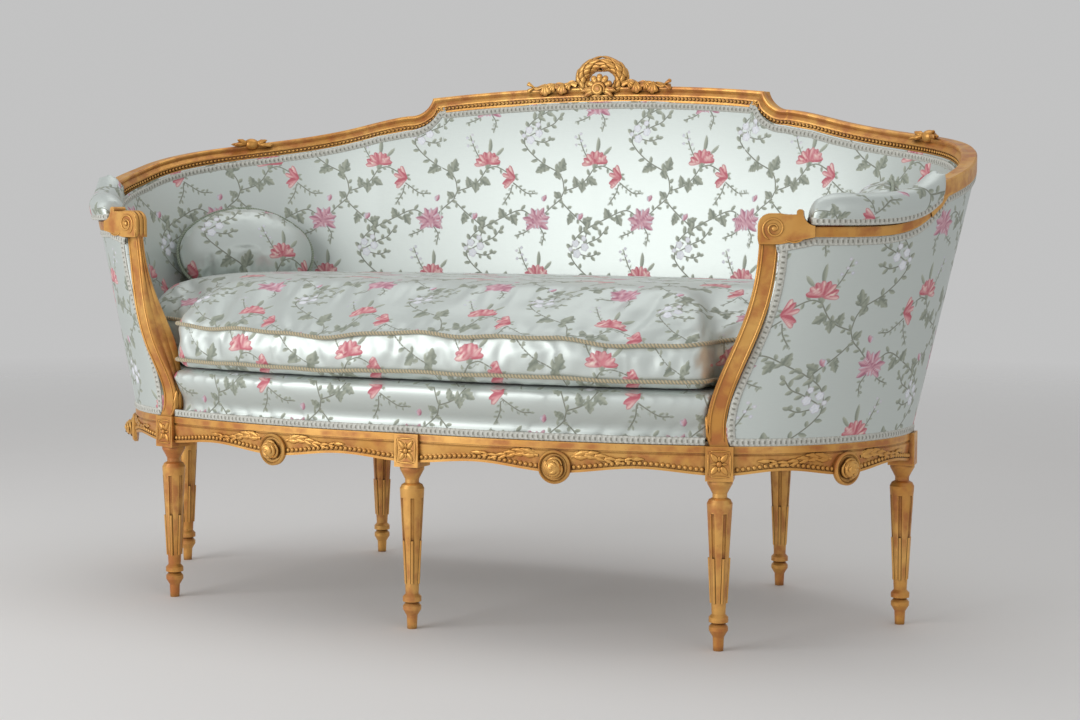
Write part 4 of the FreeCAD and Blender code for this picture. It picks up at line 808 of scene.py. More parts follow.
def seamLoop(node, point, normal):  # the ordered edge of a solid's cut by a plane
    bm = bmesh.new()
    bm.from_mesh(frame["nodes"][node].data)
    bmesh.ops.remove_doubles(bm, verts=bm.verts, dist=1e-5)
    everything = bm.verts[:] + bm.edges[:] + bm.faces[:]
    cut = bmesh.ops.bisect_plane(bm, geom=everything, plane_co=point, plane_no=normal)
    edges = [item for item in cut["geom_cut"] if isinstance(item, bmesh.types.BMEdge)]
    links = {}
    for edge in edges:
        for vert in edge.verts:
            links.setdefault(vert, []).append(edge)
    vert = edges[0].verts[0]
    loop, used = [], set()
    while True:
        loop.append(vert.co.copy())
        onward = [edge for edge in links[vert] if edge not in used]
        if not onward:
            break
        used.add(onward[0])
        vert = onward[0].other_vert(vert)
    bm.free()
    path = np.array(loop)
    if np.linalg.norm(path[0] - path[-1]) < 1e-6:
        path = path[:-1]
    return path


def evenly(path, spacing, closed):  # the same line with evenly spaced points
    whole = np.vstack([path, path[:1]]) if closed else np.asarray(path)
    lengths = runLengths(whole)
    count = max(3, int(lengths[-1] / spacing))
    spots = np.linspace(0, lengths[-1], count + 1)
    if closed:
        spots = spots[:-1]
    return placed(whole, lengths, spots)


def eased(path, rounds):  # takes the small corners out of a closed line
    for step in range(rounds):
        path = path * 0.5 + (np.roll(path, 1, 0) + np.roll(path, -1, 0)) * 0.25
    return path


def nearPath(points, path, reach):  # marks the points that lie close to a line
    found = np.zeros(len(points), bool)
    for start in range(0, len(points), 4000):
        block = points[start:start + 4000]
        away = np.full(len(block), 9.0)
        for spot in path:
            away = np.minimum(away, np.linalg.norm(block - spot, axis=1))
        found[start:start + 4000] = away < reach
    return found


def twistedTube(name, path, radius, pitch, lobes=2, ring=12, lobeDepth=0.22):
    # a closed round tube with twisted strands
    count = len(path)
    ahead = np.roll(path, -1, 0) - np.roll(path, 1, 0)
    ahead /= np.linalg.norm(ahead, axis=1, keepdims=True)
    side = np.cross(ahead, (0.0, 0.0, 1.0))
    side /= np.maximum(np.linalg.norm(side, axis=1, keepdims=True), 1e-6)
    up = np.cross(side, ahead)
    lengths = runLengths(np.vstack([path, path[:1]]))
    turns = round(lengths[-1] / pitch)
    kept = {}

    def place(u, v):
        spots = np.rint(v * count).astype(int)
        i = spots % count
        run = lengths[spots]
        angle = u * 2 * math.pi
        twist = angle + 2 * math.pi * turns * run / lengths[-1]
        reach = radius * (1 - lobeDepth * (0.5 + 0.5 * np.cos(lobes * twist)))
        kept["cloth"] = (run, twist / (2 * math.pi) * lobes / 2)
        return path[i] + side[i] * (reach * np.cos(angle))[:, None] + up[i] * (reach * np.sin(angle))[:, None]

    piece = bentGrid(name, ring, count, place)
    spreadCloth(piece, *kept["cloth"])
    return welded(piece, 1e-6)


def sagged(points):  # the front seams waver with use
    plan = cushions["seat"]
    x, y, z = points.T
    front = np.clip((0.05 - y) / 0.25, 0, 1)
    front = front * np.clip((z - 0.405) / 0.05, 0, 1) * np.clip((0.56 - z) / 0.05, 0, 1)
    wave = sum(size * np.sin(rate * x + start) for size, rate, start in plan["waves"])
    return np.column_stack([x, y, z + front * (wave - plan["sag"])])


def makeSeatCushion():
    plan = cushions["seat"]
    piece = solidCopy("seat_cushion", "seatCushion", 0.003)
    remeshed(piece, plan["voxel"], plan["smoothing"])
    loops = [seamLoop("seat_cushion", (0, 0, z), (0, 0, 1)) for z in plan["seams"]]
    paths = [eased(evenly(loop, 0.004, True), 3) for loop in loops]
    points = meshPoints(piece.data)
    pinned = nearPath(points, np.vstack([path[::2] for path in paths]), plan["seamReach"])
    pinned |= points[:, 2] < 0.408  # the underside rests on the deck
    plump(piece, pinned, plan)
    subdivided(piece)
    points = meshPoints(piece.data)
    piece.data.vertices.foreach_set("co", sagged(points).ravel())
    piece.data.update()
    x, y, z = points.T
    fall = plan["crown"] - z
    u = x + fall * np.sign(x) * np.clip((np.abs(x) - 0.42) / 0.2, 0, 1)
    v = np.where(z > plan["seams"][1] - 0.001, y + fall * np.clip(y / 0.15, -1, 1) + 0.06, z - 0.785)
    weavePattern(piece, u, v)
    finished(piece, "cushion", silkCloth)
    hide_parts("seat_cushion")
    for label, path in zip(("Low", "High"), paths):
        line = evenly(sagged(path), plan["cordStep"], True)
        cord = twistedTube("cushionCord" + label, line, plan["cord"], plan["twist"])
        finished(cord, "cushion", cushionCord)
    print("seat cushion filled")


pillows = {
    "lean": 22, "seamZ": 0.482,
    "Left": {"side": -1, "x": 0.613, "back": 0.402, "yaw": 44, "roll": 0, "rise": 0.0547},
    "Right": {"side": 1, "x": 0.622, "back": 0.318, "yaw": 66, "roll": 34, "rise": 0.1029},
}


def pillowTurn(place):
    turn = Matrix.Rotation(math.radians(-place["side"] * place["yaw"]), 4, "Z")
    turn = turn @ Matrix.Rotation(math.radians(-pillows["lean"]), 4, "X")
    turn = turn @ Matrix.Rotation(math.radians(place["side"] * place["roll"]), 4, "Y")
    height = pillows["seamZ"] + place["rise"]
    spot = Vector((place["side"] * place["x"], basket["frontY"] + place["back"], height))
    return Matrix.Translation(spot) @ turn


def makePillow(label):
    plan = cushions["pillow"]
    node = "pillow_" + label.lower()
    turn = pillowTurn(pillows[label])
    normal = turn.to_3x3() @ Vector((0, 1, 0))
    piece = solidCopy(node, "pillow" + label, 0.003)
    remeshed(piece, plan["voxel"], plan["smoothing"])
    path = eased(evenly(seamLoop(node, turn.translation, normal), 0.003, True), 6)
    pinned = nearPath(meshPoints(piece.data), path, plan["seamReach"])
    plump(piece, pinned, plan)
    subdivided(piece)
    local = (meshPoints(piece.data) - np.array(turn.translation)) @ np.array(turn.to_3x3())
    weavePattern(piece, local[:, 0] + 0.05, local[:, 2] + 0.07)
    body = "pillow_" + label[0].lower()
    finished(piece, body, silkCloth)
    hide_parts(node)
    line = evenly(path, plan["cordStep"], True)
    cord = twistedTube("pillowPiping" + label, line, plan["cord"], plan["twist"])
    finished(cord, body, pillowCord)


makeSeatCushion()
for pillowLabel in ("Left", "Right"):
    makePillow(pillowLabel)
print("pillows filled")


# seat edge and arm pads

seatEdge = {"voxel": 0.0075, "smoothing": 3, "top": 0.4}
armPads = {"voxel": 0.005, "smoothing": 4, "ridge": 0.69, "core": 0.012, "radius": 0.034}


def makePlatform():
    piece = solidCopy("seat_platform", "seatEdge", 0.0)
    remeshed(piece, seatEdge["voxel"], seatEdge["smoothing"])
    subdivided(piece)
    points = meshPoints(piece.data)
    top = points[:, 2] > seatEdge["top"]
    weavePattern(piece, points[:, 0], np.where(top, points[:, 1] + 0.3, points[:, 2] - 0.31))
    finished(piece, "frame", silkCloth)
    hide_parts("seat_platform")
    print("seat edge covered")


def makeArmPads():
    for side, label in ((1, "Right"), (-1, "Left")):
        node = "arm_pad_" + label.lower()
        piece = solidCopy(node, "armPad" + label, 0.0)
        remeshed(piece, armPads["voxel"], armPads["smoothing"])
        subdivided(piece)
        points = meshPoints(piece.data)
        stations = np.linspace(0, 1, 200)
        ridge = wallPoint(stations, armPads["ridge"], 0.0)
        station = np.interp(points[:, 1], ridge[:, 1], stations)
        away = points[:, :2] * (side, 1) - wallPoint(station, armPads["ridge"], 0.0)[:, :2]
        across = (away * wallOut(station)).sum(1)
        around = np.arctan2(across, points[:, 2] - armTop(station) - armPads["core"]) * armPads["radius"]
        weavePattern(piece, station * walls["armRun"] + 0.04, around + 0.03)
        finished(piece, "frame", silkCloth)
        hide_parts(node)
    print("arm pads covered")


makePlatform()
makeArmPads()

# carving: closed leaves, tubes and beads gathered in one mesh per piece

upward = np.array([0, 0, 1.0])


def turnedUp(level, angle):  # a heading turned upward from a level one
    return level * math.cos(angle) + upward * math.sin(angle)


def unit(vectors):
    vectors = np.asarray(vectors, float)
    return vectors / np.maximum(np.linalg.norm(vectors, axis=-1, keepdims=True), 1e-9)


class Carving:
    def __init__(self):
        self.bm = bmesh.new()

    def blade(self, spine, up, halves, thick, ring=8, cup=0.0):  # a lens-shaped strip along a line
        spine = np.asarray(spine, float)
        count = len(spine)
        ahead = unit(np.gradient(spine, axis=0))
        side = unit(np.cross(np.broadcast_to(up, spine.shape), ahead))
        up = np.cross(ahead, side)
        made = bmesh.ops.create_grid(self.bm, x_segments=ring, y_segments=count - 1, size=0.5)["verts"]
        flat = np.array([vert.co for vert in made]) + 0.5
        i = np.rint(flat[:, 1] * (count - 1)).astype(int)
        across = np.cos(flat[:, 0] * 2 * math.pi)
        lift = np.broadcast_to(thick, count)[i] * np.sin(flat[:, 0] * 2 * math.pi)
        wide = np.broadcast_to(halves, count)[i]
        lift = lift + cup * wide * across ** 2
        spots = spine[i] + side[i] * (wide * across)[:, None] + up[i] * lift[:, None]
        for vert, spot in zip(made, spots):
            vert.co = spot

    def leaf(self, root, ahead, up, length, width, thick=0.0018, curl=0.0, bend=0.0, lobes=0, cup=0.0):
        t = np.linspace(0, 1, 14 if lobes else 7)
        ahead, up = unit(ahead), unit(up)
        side = unit(np.cross(up, ahead))
        run = length * t[:, None]
        spine = np.asarray(root) + ahead * run + (up * curl + side * bend) * (run * t[:, None])
        shape = np.sin(math.pi * t ** 0.8)
        if lobes:
            shape = shape * (0.74 + 0.26 * np.abs(np.sin(lobes * math.pi * t)))
        halves = np.maximum(width / 2 * shape, 0)
        self.blade(spine, up, halves, thick * np.minimum(1, 2.5 * np.sin(math.pi * t)), cup=cup)

    def tube(self, path, radius, up=(0, 0, 1), ring=7):
        taper = np.minimum(1, np.minimum(np.arange(len(path)), np.arange(len(path))[::-1]) * 0.6)
        self.blade(path, up, radius * taper, radius * taper, ring)

    def bead(self, spot, radius, across=8, rows=5):
        bmesh.ops.create_uvsphere(self.bm, u_segments=across, v_segments=rows, radius=radius,
                                  matrix=Matrix.Translation(spot))

    def dome(self, spot, normal, radius, rise, across=12, rows=6):  # a flattened ball facing a direction
        turn = Vector(normal).to_track_quat("Z", "Y").to_matrix().to_4x4()
        shape = Matrix.Diagonal((1, 1, rise / radius, 1))
        bmesh.ops.create_uvsphere(self.bm, u_segments=across, v_segments=rows, radius=radius,
                                  matrix=Matrix.Translation(spot) @ turn @ shape)

    def mirror(self):  # adds the same carving on the other side
        everything = self.bm.verts[:] + self.bm.edges[:] + self.bm.faces[:]
        for item in bmesh.ops.duplicate(self.bm, geom=everything)["geom"]:
            if isinstance(item, bmesh.types.BMVert):
                item.co.x = -item.co.x

    def piece(self, name):
        bmesh.ops.remove_doubles(self.bm, verts=self.bm.verts, dist=1e-7)
        bmesh.ops.dissolve_degenerate(self.bm, edges=self.bm.edges, dist=1e-7)
        bmesh.ops.recalc_face_normals(self.bm, faces=self.bm.faces)
        mesh = bpy.data.meshes.new(name)
        self.bm.to_mesh(mesh)
        self.bm.free()
        return finished(linkPiece(name, mesh), "frame", gilt)


# bead rows

beadRows = {"railRadius": 0.0039, "railPitch": 0.0085, "railOut": 0.0130, "railRise": 0.0085,
            "crestRadius": 0.0031, "crestPitch": 0.0080, "crestOut": -0.0122, "crestDrop": 0.0235,
            "blockHalf": 0.027, "medallionHalf": 0.031, "railHeights": (0.046, 0.038, 0.049)}


def railHeight(share):
    ends, waist, middle = beadRows["railHeights"]
    wave = ((ends + middle) / 2 - waist) / 2
    turn = 2 * math.pi * np.asarray(share)
    return waist + wave + wave * np.cos(2 * turn) + (ends - middle) / 2 * np.cos(turn)


def railLine(kind, share, out):  # plan points and outward headings along a rail
    if kind == "front":
        return frontPoint(share, out)
    first, last = {"side": (0, 1), "corner": (1, 3)}[kind]
    station = first + (last - first) * np.asarray(share)
    normal = seatLine.outward(station)
    return seatLine.point(station) + normal * out, normal


def makeRailBeads():
    work = Carving()
    for kind in ("front", "side", "corner"):
        share = np.linspace(0, 1, 400)
        spot, normal = railLine(kind, share, beadRows["railOut"])
        height = railHeight(share) if kind != "corner" else np.full(share.shape, beadRows["railHeights"][0])
        path = np.column_stack([spot, basket["railTop"] - height + beadRows["railRise"]])
        lengths = runLengths(path)
        total, gap = lengths[-1], beadRows["blockHalf"]
        stretches = [(gap, total - gap)]
        if kind != "corner":
            half = beadRows["medallionHalf"]
            stretches = [(gap, total / 2 - half), (total / 2 + half, total - gap)]
        for first, last in stretches:
            for run in np.linspace(first, last, int((last - first) / beadRows["railPitch"]) + 1):
                work.bead(placed(path, lengths, run), beadRows["railRadius"])
    work.mirror()
    work.piece("railBeads")


def crestPath(out, drop):  # an offset of the crest's top line, from the arm to the middle of the back
    turn = basket["sweep"]
    radius = (basket["stepZ"] - basket["jointZ"]) / (1 - math.cos(turn))
    rows = [(station, float(crestTop(station)), 0.0, 1.0)
            for station in np.linspace(basket["crestStart"], jointStation, 90)]
    for angle in np.linspace(0, turn, 10)[:-1]:
        x = basket["stepX"] + radius * (math.sin(turn) - math.sin(angle))
        rows.append((rimStation(x), basket["jointZ"] + radius * (1 - math.cos(angle)), -angle, 1.0))
    rows.append((rimStation(basket["stepX"]), basket["stepZ"], -turn / 2, 1 / math.cos(turn / 2)))
    for x in np.linspace(basket["stepX"], 0, 40)[1:]:
        rows.append((rimStation(x), float(crestCentreHeight(x)), 0.0, 1.0))
    spots = []
    for station, z, tilt, stretch in rows:
        base = np.append(rimLine.point(station), z)
        ahead, outward = np.append(rimLine.forward(station), 0), np.append(rimLine.outward(station), 0)
        up = np.array([0, 0, math.cos(tilt)]) + ahead * math.sin(tilt)
        spots.append(base + outward * out - up * drop * stretch)
    return np.array(spots)


def makeCrestBeads():
    work = Carving()
    path = crestPath(beadRows["crestOut"], beadRows["crestDrop"])
    for spot in evenly(path, beadRows["crestPitch"], False)[1:]:
        work.bead(spot, beadRows["crestRadius"])
    work.mirror()
    work.piece("crestBeads")
    print("bead rows strung")


makeRailBeads()
makeCrestBeads()

# rosettes on the front leg blocks

rosettes = {"half": 0.0215, "low": 0.267, "high": 0.321, "inset": 0.0045, "border": 0.0019, "root": 0.003,
            "petal": (0.019, 0.011, 0.0024), "sepal": (0.0105, 0.0048, 0.0018), "boss": (0.0048, 0.0044)}


def makeRosettes():
    work = Carving()
    tilt = seatLine.forward(0)
    corner = np.array([basket["seat"][0][0], basket["frontY"]])
    fronts = [((0, basket["frontY"] - basket["frontForward"]), (1.0, 0.0)), (corner, tilt),
              ((-corner[0], corner[1]), (tilt[0], -tilt[1]))]
    middle = (rosettes["low"] + rosettes["high"]) / 2
    for spot, ahead in fronts:
        across = np.append(ahead, 0)
        normal = np.array([ahead[1], -ahead[0], 0])
        face = np.append(spot, middle) + normal * rosettes["half"]
        wide = across * (rosettes["half"] - rosettes["inset"])
        tall = upward * ((rosettes["high"] - rosettes["low"]) / 2 - rosettes["inset"] * 1.6)
        for sign in (-1, 1):
            for edge, run in ((wide, tall), (tall, wide)):
                border = np.array([face + edge * sign + run * k for k in np.linspace(-1, 1, 6)])
                work.tube(border, rosettes["border"], normal)
            for other in (-1, 1):
                heading = unit(across * sign * 0.8 + upward * other)
                work.leaf(face + heading * rosettes["root"], heading, normal, *rosettes["petal"], cup=-0.15)
                side = unit(across * sign if other > 0 else upward * sign)
                work.leaf(face + side * rosettes["root"], side, normal, *rosettes["sepal"])
        work.dome(face, normal, *rosettes["boss"])
    work.piece("blockRosettes")


# medallions: overlapping petals on each bud, and leaf sprays to both sides along the rail

medallions = {"drop": 0.040, "face": 0.0150, "base": 0.0235, "core": (0.0140, 0.0115), "tip": (0.0030, 0.0022),
              "petals": ((0.0150, 0.0020, 0.3), (0.0118, 0.0075, 2.3), (0.0078, 0.0115, 4.4)),
              "petalSize": (0.0044, 0.0017), "petalTurn": 2.5, "petalClose": 0.0012,
              "beads": 26, "beadRing": 0.0200, "beadBack": 0.0068, "beadRadius": 0.0018}
sprays = {"spans": {"front": 0.515, "side": 0.390}, "start": 0.027, "length": 0.098, "drop": 0.023, "wave": 0.004,
          "leaves": 6, "leafLength": 0.030, "leafThick": 0.0026, "tip": (0.024, 0.009, 0.0024),
          "curl": (0.036, 0.3005), "curlRadius": (0.007, 0.0065), "curlThick": 0.0017}


def makeMedallions():
    work = Carving()
    turns = np.linspace(0, medallions["petalTurn"], 14)
    fade = np.sin(np.linspace(0.25, math.pi - 0.05, len(turns)))
    close = medallions["petalClose"] * turns
    for kind in ("front", "side"):
        spot, normal = railLine(kind, np.array([0.5]), 0.0)
        normal = np.append(normal[0], 0)
        across = np.array([-normal[1], normal[0], 0])
        base = np.append(spot[0], basket["railTop"] - medallions["drop"]) + normal * medallions["base"]
        work.dome(base + normal * 0.001, normal, *medallions["core"], 18, 9)
        for reach, lift, start in medallions["petals"]:
            for number in range(3):
                swirl = start + 2 * math.pi * number / 3
                petal = [base + normal * (lift - shut) + turnedUp(across, swirl + turn) * (reach - shut)
                         for turn, shut in zip(turns, close)]
                half, thick = medallions["petalSize"]
                work.blade(petal, normal, half * fade, thick * fade, cup=-0.5)
        work.dome(base + normal * medallions["core"][1], normal, *medallions["tip"])
        for number in range(medallions["beads"]):
            heading = turnedUp(across, 2 * math.pi * number / medallions["beads"])
            spot = base - normal * medallions["beadBack"] + heading * medallions["beadRing"]
            work.bead(spot, medallions["beadRadius"], 6, 4)
        for sign in (-1, 1):
            makeSpray(work, kind, sign)
    work.mirror()
    work.piece("medallionCarving")
    print("medallions carved")


def makeSpray(work, kind, sign):
    def onRail(run, z):  # a place on the rail's face, at a run from the medallion
        share = 0.5 + sign * run / sprays["spans"][kind]
        spot, normal = railLine(kind, np.array([share]), medallions["face"] - 0.0015)
        return np.append(spot[0], z), np.append(normal[0], 0)

    runs = np.linspace(sprays["start"], sprays["start"] + sprays["length"], 16)
    drift = basket["railTop"] - sprays["drop"] + sprays["wave"] * np.sin(np.linspace(0, 2 * math.pi, 16))
    stem = np.array([onRail(run, z)[0] for run, z in zip(runs, drift)])
    normal = onRail(0.07, 0.3)[1]
    work.blade(stem, normal, np.linspace(0.0030, 0.0009, 16), np.linspace(0.0026, 0.0010, 16))
    for number, run in enumerate(np.linspace(0.030, 0.030 + sprays["length"] * 0.82, sprays["leaves"])):
        root, out = onRail(run, np.interp(run, runs, drift))
        ahead = onRail(run + 0.006, np.interp(run + 0.006, runs, drift))[0] - root
        size = sprays["leafLength"] - 0.0025 * number
        for side, lift, share in ((-1, 0.42, 0.85), (1, 0.34, 1)):
            heading = unit(unit(ahead) + upward * side * lift)
            work.leaf(root + out * 0.0006, heading, out, size * share, size * 0.34, sprays["leafThick"],
                      curl=0.02, bend=-0.22 * side * sign, lobes=3)
    tip, out = onRail(runs[-1], drift[-1])
    ahead = tip - onRail(runs[-1] - 0.006, drift[-1])[0]
    work.leaf(tip - unit(ahead) * 0.006, ahead, out, *sprays["tip"], lobes=3)
    (run, z), (wide, tall) = sprays["curl"], sprays["curlRadius"]
    curl = [onRail(run + wide * math.cos(a) * (1 - a / 9), z + tall * math.sin(a) * (1 - a / 9))[0]
            for a in np.linspace(0, 7.5, 22)]
    work.tube(np.array(curl), sprays["curlThick"], normal)


# crest ornaments: laurel on the wreath with a bow and a fan, ribbons, and leaves round the corner buds

wreath = {"width": 0.108, "height": 0.084, "tube": 0.025, "rise": 0.015, "rows": 8,
          "reach": 0.62, "lift": 0.0026, "leafHalf": 0.0066, "leafThick": 0.0026}


def wreathFrame(angle):  # a place on the ring's middle line, zero at the bottom, and its outward heading
    half = np.array([(wreath["width"] - wreath["tube"]) / 2, (wreath["height"] - wreath["tube"]) / 2])
    centre = np.append(rimLine.point(4.0), basket["crestCentre"] + wreath["rise"])
    spot = centre + np.array([half[0] * math.sin(angle), 0, -half[1] * math.cos(angle)])
    return spot, unit(spot - centre)


def makeWreath():
    work = Carving()
    t = np.linspace(0, 1, 9)
    shape = np.sin(math.pi * t ** 0.75)
    for row in range(wreath["rows"]):
        angle = 0.2 + (math.pi - wreath["reach"] - 0.15) * row / (wreath["rows"] - 1)
        for turn in (-150, -90, -30, 30, 90, 150) if row % 2 else (-120, -60, 0, 60, 120, 180):
            tilt = math.radians(turn)
            spine, facings = [], []
            for share in t:
                spot, outward = wreathFrame(angle + wreath["reach"] * share)
                facings.append(outward * math.sin(tilt) + np.array([0, -1, 0]) * math.cos(tilt))
                spine.append(spot + facings[-1] * (wreath["tube"] / 2 - 0.0012 + wreath["lift"] * share))
            thick = wreath["leafThick"] * np.minimum(1, 2.5 * shape)
            work.blade(spine, np.array(facings), wreath["leafHalf"] * shape, thick, cup=-0.3)
    work.mirror()
    makeBow(work)
    work.piece("wreathLaurel")


def fold(work, root, heading, out, length, half):  # a strip that flares to a blunt end
    t = np.linspace(0, 1, 12)
    heading = unit(heading)
    arch = np.asarray(out) * (0.002 * np.sin(math.pi * t))[:, None]
    spine = np.asarray(root) + heading * (length * t)[:, None] + arch
    closing = np.minimum(1, (1 - t) * 8)
    work.blade(spine, out, half * (0.2 + 0.8 * t) * closing, 0.0027 * closing, cup=0.2)


bow = {"front": (0, -0.0165, -0.009), "knot": (0.0125, 0.0115), "knotHalf": 0.0046, "knotThick": 0.0026,
       "boss": (0.0105, 0.0055), "fan": (-68, -34, 0, 34, 68), "flute": (0.0235, 0.0072),
       "fluteEnd": (0.0066, 0.0034), "leaves": ((0.15, 0.030), (-0.30, 0.026)), "leafSize": (0.0150, 0.0036)}


def makeBow(work):
    front = np.append(rimLine.point(4.0), basket["crestCentre"]) + bow["front"]
    out = np.array([0, -1.0, 0])
    wide, tall = bow["knot"]
    knot = []
    for angle in np.linspace(-0.6, 7.6, 40):
        close = 1 - angle / 16
        knot.append(front + (wide * math.cos(angle) * close, -0.004 - 0.0005 * angle,
                             0.004 + tall * math.sin(angle) * close))
    fade = np.sin(np.linspace(0.3, math.pi - 0.2, 40))
    work.blade(knot, out, bow["knotHalf"] * fade, bow["knotThick"], 10, -0.3)
    work.dome(front + (0, -0.003, 0.004), out, *bow["boss"], 14, 8)
    root = front + (0, 0.006, 0.006)
    for angle in np.radians(bow["fan"]):
        heading = np.array([math.sin(angle), -0.15, math.cos(angle)])
        fold(work, root, heading, out, *bow["flute"])
        work.dome(root + heading * 0.0215, out, *bow["fluteEnd"])
    for sign in (-1, 1):
        for lift, reach in bow["leaves"]:
            work.leaf(front + (sign * 0.008, 0, 0.002), (sign, -0.1, lift), out, reach, *bow["leafSize"],
                      curl=0.05, bend=-0.25 * sign, lobes=2, cup=-0.2)


ribbons = {"lean": (0, -1.0, 0.25), "forward": 0.0125, "run": 0.086, "half": 0.0058, "thick": 0.0024,
           "folds": ((0.06, 0.017, -40), (0.27, 0.023, -82), (0.48, 0.018, -60), (0.70, 0.024, -95)),
           "tail": (0.018, 0.0052)}


def makeRibbons():
    # ruffled folds, each a fan of flutes hanging over the crest's front edge
    work = Carving()
    start = wreath["width"] / 2
    out = unit(ribbons["lean"])

    def onCrest(x, rise, forward):
        top = np.append(rimLine.point(rimStation(x)), float(crestCentreHeight(x)))
        return top + (0, -forward, rise)

    for share, size, lean in ribbons["folds"]:
        root = onCrest(start + ribbons["run"] * share, 0.0085, 0.0120)
        for side in (-1, 0, 1):
            angle = math.radians(lean + 24 * side)
            heading = (math.cos(angle), -0.10, math.sin(angle))
            fold(work, root, heading, out, size * (1 - 0.08 * abs(side)), size * 0.26)
    t = np.linspace(0, 1, 40)
    spine = [onCrest(start - 0.006 + 0.096 * share, 0.0035 + 0.0035 * math.sin(13 * share), ribbons["forward"])
             for share in t]
    ends = np.minimum(1, (1 - t) * 10)
    halves = ribbons["half"] * (1 - 0.45 * t) * (0.75 + 0.25 * np.cos(13 * t)) * ends
    work.blade(spine, out, halves, ribbons["thick"] * ends, cup=0.2)
    for sign in (-1, 1):
        root = onCrest(start + 0.082, 0.003, ribbons["forward"])
        fold(work, root, (1, -0.05, 0.55 * sign), out, *ribbons["tail"])
    work.mirror()
    work.piece("crestRibbons")


buds = {"station": 2.0, "inset": 0.007, "scales": 6, "scale": (0.0150, 0.0095, 0.0020),
        "leafSize": (0.0125, 0.0030), "leaves": ((0.02, 0.030, 0.35), (-0.22, 0.034, -0.1), (0.35, 0.022, 0.1))}


def makeBudLeaves():
    work = Carving()
    station = buds["station"]
    ahead, out = np.append(rimLine.forward(station), 0), np.append(rimLine.outward(station), 0)
    centre = np.append(rimLine.point(station), float(crestTop(station))) - out * buds["inset"]
    for number in range(buds["scales"]):
        heading = turnedUp(-out, math.radians(-20 + 44 * number))
        for sign in (-1, 1):
            root = centre + heading * 0.0088 - ahead * sign * 0.004
            work.leaf(root, ahead * sign + heading * 0.25, heading, *buds["scale"], curl=-0.5)
    for sign in (-1, 1):
        root = centre + ahead * sign * 0.009 - out * 0.0055 + upward * 0.002
        for lift, reach, lean in buds["leaves"]:
            heading = unit(ahead * sign + upward * lift - out * 0.12)
            work.leaf(root, heading, unit(upward * 0.7 - out), reach, *buds["leafSize"],
                      curl=0.10, bend=lean * sign, lobes=3)
    work.mirror()
    work.piece("budLeaves")
    print("crest carved")


makeRosettes()
makeMedallions()
makeWreath()
makeRibbons()
makeBudLeaves()

# arm posts: fillets along the faces, a volute and reeds on each hand, leaves at the foot

posts = {"depth": 0.029, "reed": 0.002, "round": 0.018, "fillet": 0.0015, "filletDepth": 0.0105,
         "faceOut": 0.0136, "volute": 0.0235, "voluteRadii": (0.0185, 0.0035), "voluteThick": 0.0017, "eye": (0.0045, 0.0032),
         "under": 0.0014, "reeds": (-0.0089, 0.0, 0.0089), "reedSize": (0.0041, 0.0019),
         "leaves": ((-0.009, 0.040), (0, 0.052), (0.009, 0.040)), "leafSize": (0.013, 0.0028),
         "widths": [(0.321, 0.033), (0.375, 0.023), (0.433, 0.043), (0.532, 0.027), (0.677, 0.027)]}
postWidth = graph(posts["widths"])


def postPlace(z, depth, side):  # a place on the right-hand post: depth back into the arm, side outward
    share = (z - basket["railTop"]) / (basket["handTop"] - basket["railTop"])
    ahead = unit(seatLine.forward(0) * (1 - share) + rimLine.forward(0) * share)
    across = np.array([ahead[1], -ahead[0]])
    spot = wallPoint(0.0, z, 0.0)[:2] + ahead * (postSway(z) + depth) + across * side
    return np.append(spot, z), np.append(ahead, 0), np.append(across, 0)


def makePostCarving():
    work = Carving()
    heights = np.linspace(0.327, 0.640, 40)
    front = -posts["depth"] / 2 - posts["reed"]
    for face in (-1, 1):
        for depth in (-posts["filletDepth"], posts["filletDepth"]):
            path = [postPlace(z, depth, face * (float(postWidth(z)) / 2 + 0.0002))[0] for z in heights]
            work.tube(np.array(path), posts["fillet"], postPlace(0.5, 0, 0)[2])
        centre, ahead, across = postPlace(walls["handLow"], 0, face * posts["faceOut"])
        middle = centre + ahead * (front + posts["volute"]) + upward * posts["volute"]
        spiral = [middle + turnedUp(-ahead, angle) * radius
                  for angle, radius in zip(np.linspace(-1.2, 10.2, 60), np.linspace(*posts["voluteRadii"], 60))]
        work.tube(np.array(spiral), posts["voluteThick"], across)
        work.dome(middle, across * face, *posts["eye"])
        under = [middle + ahead * (0.016 + 0.028 * k) - upward * (0.0165 + 0.004 * math.sin(math.pi * k))
                 for k in np.linspace(0, 1, 12)]
        work.tube(np.array(under), posts["under"], across)
    # the reeds rise over the front of the hand and run back along its top
    bend, top = posts["round"], basket["handTop"]
    angles = np.linspace(0, math.pi / 2, 10)
    backs = np.concatenate([np.zeros(8), bend * (1 - np.cos(angles)), np.linspace(bend, 0.040, 9)[1:]])
    rises = np.concatenate([np.linspace(walls["handLow"] + 0.002, top - bend, 9)[:-1],
                            top - bend + bend * np.sin(angles), np.full(8, top)])
    turns = np.concatenate([np.zeros(8), angles, np.full(8, math.pi / 2)])
    ends = np.minimum(1, np.minimum(np.arange(26) + 1, np.arange(26)[::-1]) / 3)
    half, thick = posts["reedSize"]
    for side in posts["reeds"]:
        foot, ahead, across = postPlace(walls["handLow"], front, side)
        path = [foot + ahead * back + upward * (rise - foot[2]) for back, rise in zip(backs, rises)]
        ups = [turnedUp(-ahead, turn) for turn in turns]
        work.blade(path, np.array(ups), half * ends, thick * ends)
    for side, length in posts["leaves"]:
        root, ahead, across = postPlace(0.328, -posts["depth"] / 2 - 0.0012, side)
        work.leaf(root, upward - ahead * 0.05, -ahead, length, *posts["leafSize"], curl=0.02, lobes=3)
    work.mirror()
    work.piece("postCarving")
    print("posts carved")


makePostCarving()

# braid round the panels

gimp = {"half": 0.0062, "thick": 0.0021, "spacing": 0.004, "sweep": 0.075, "postGap": 0.0035, "scroll": 0.0024}


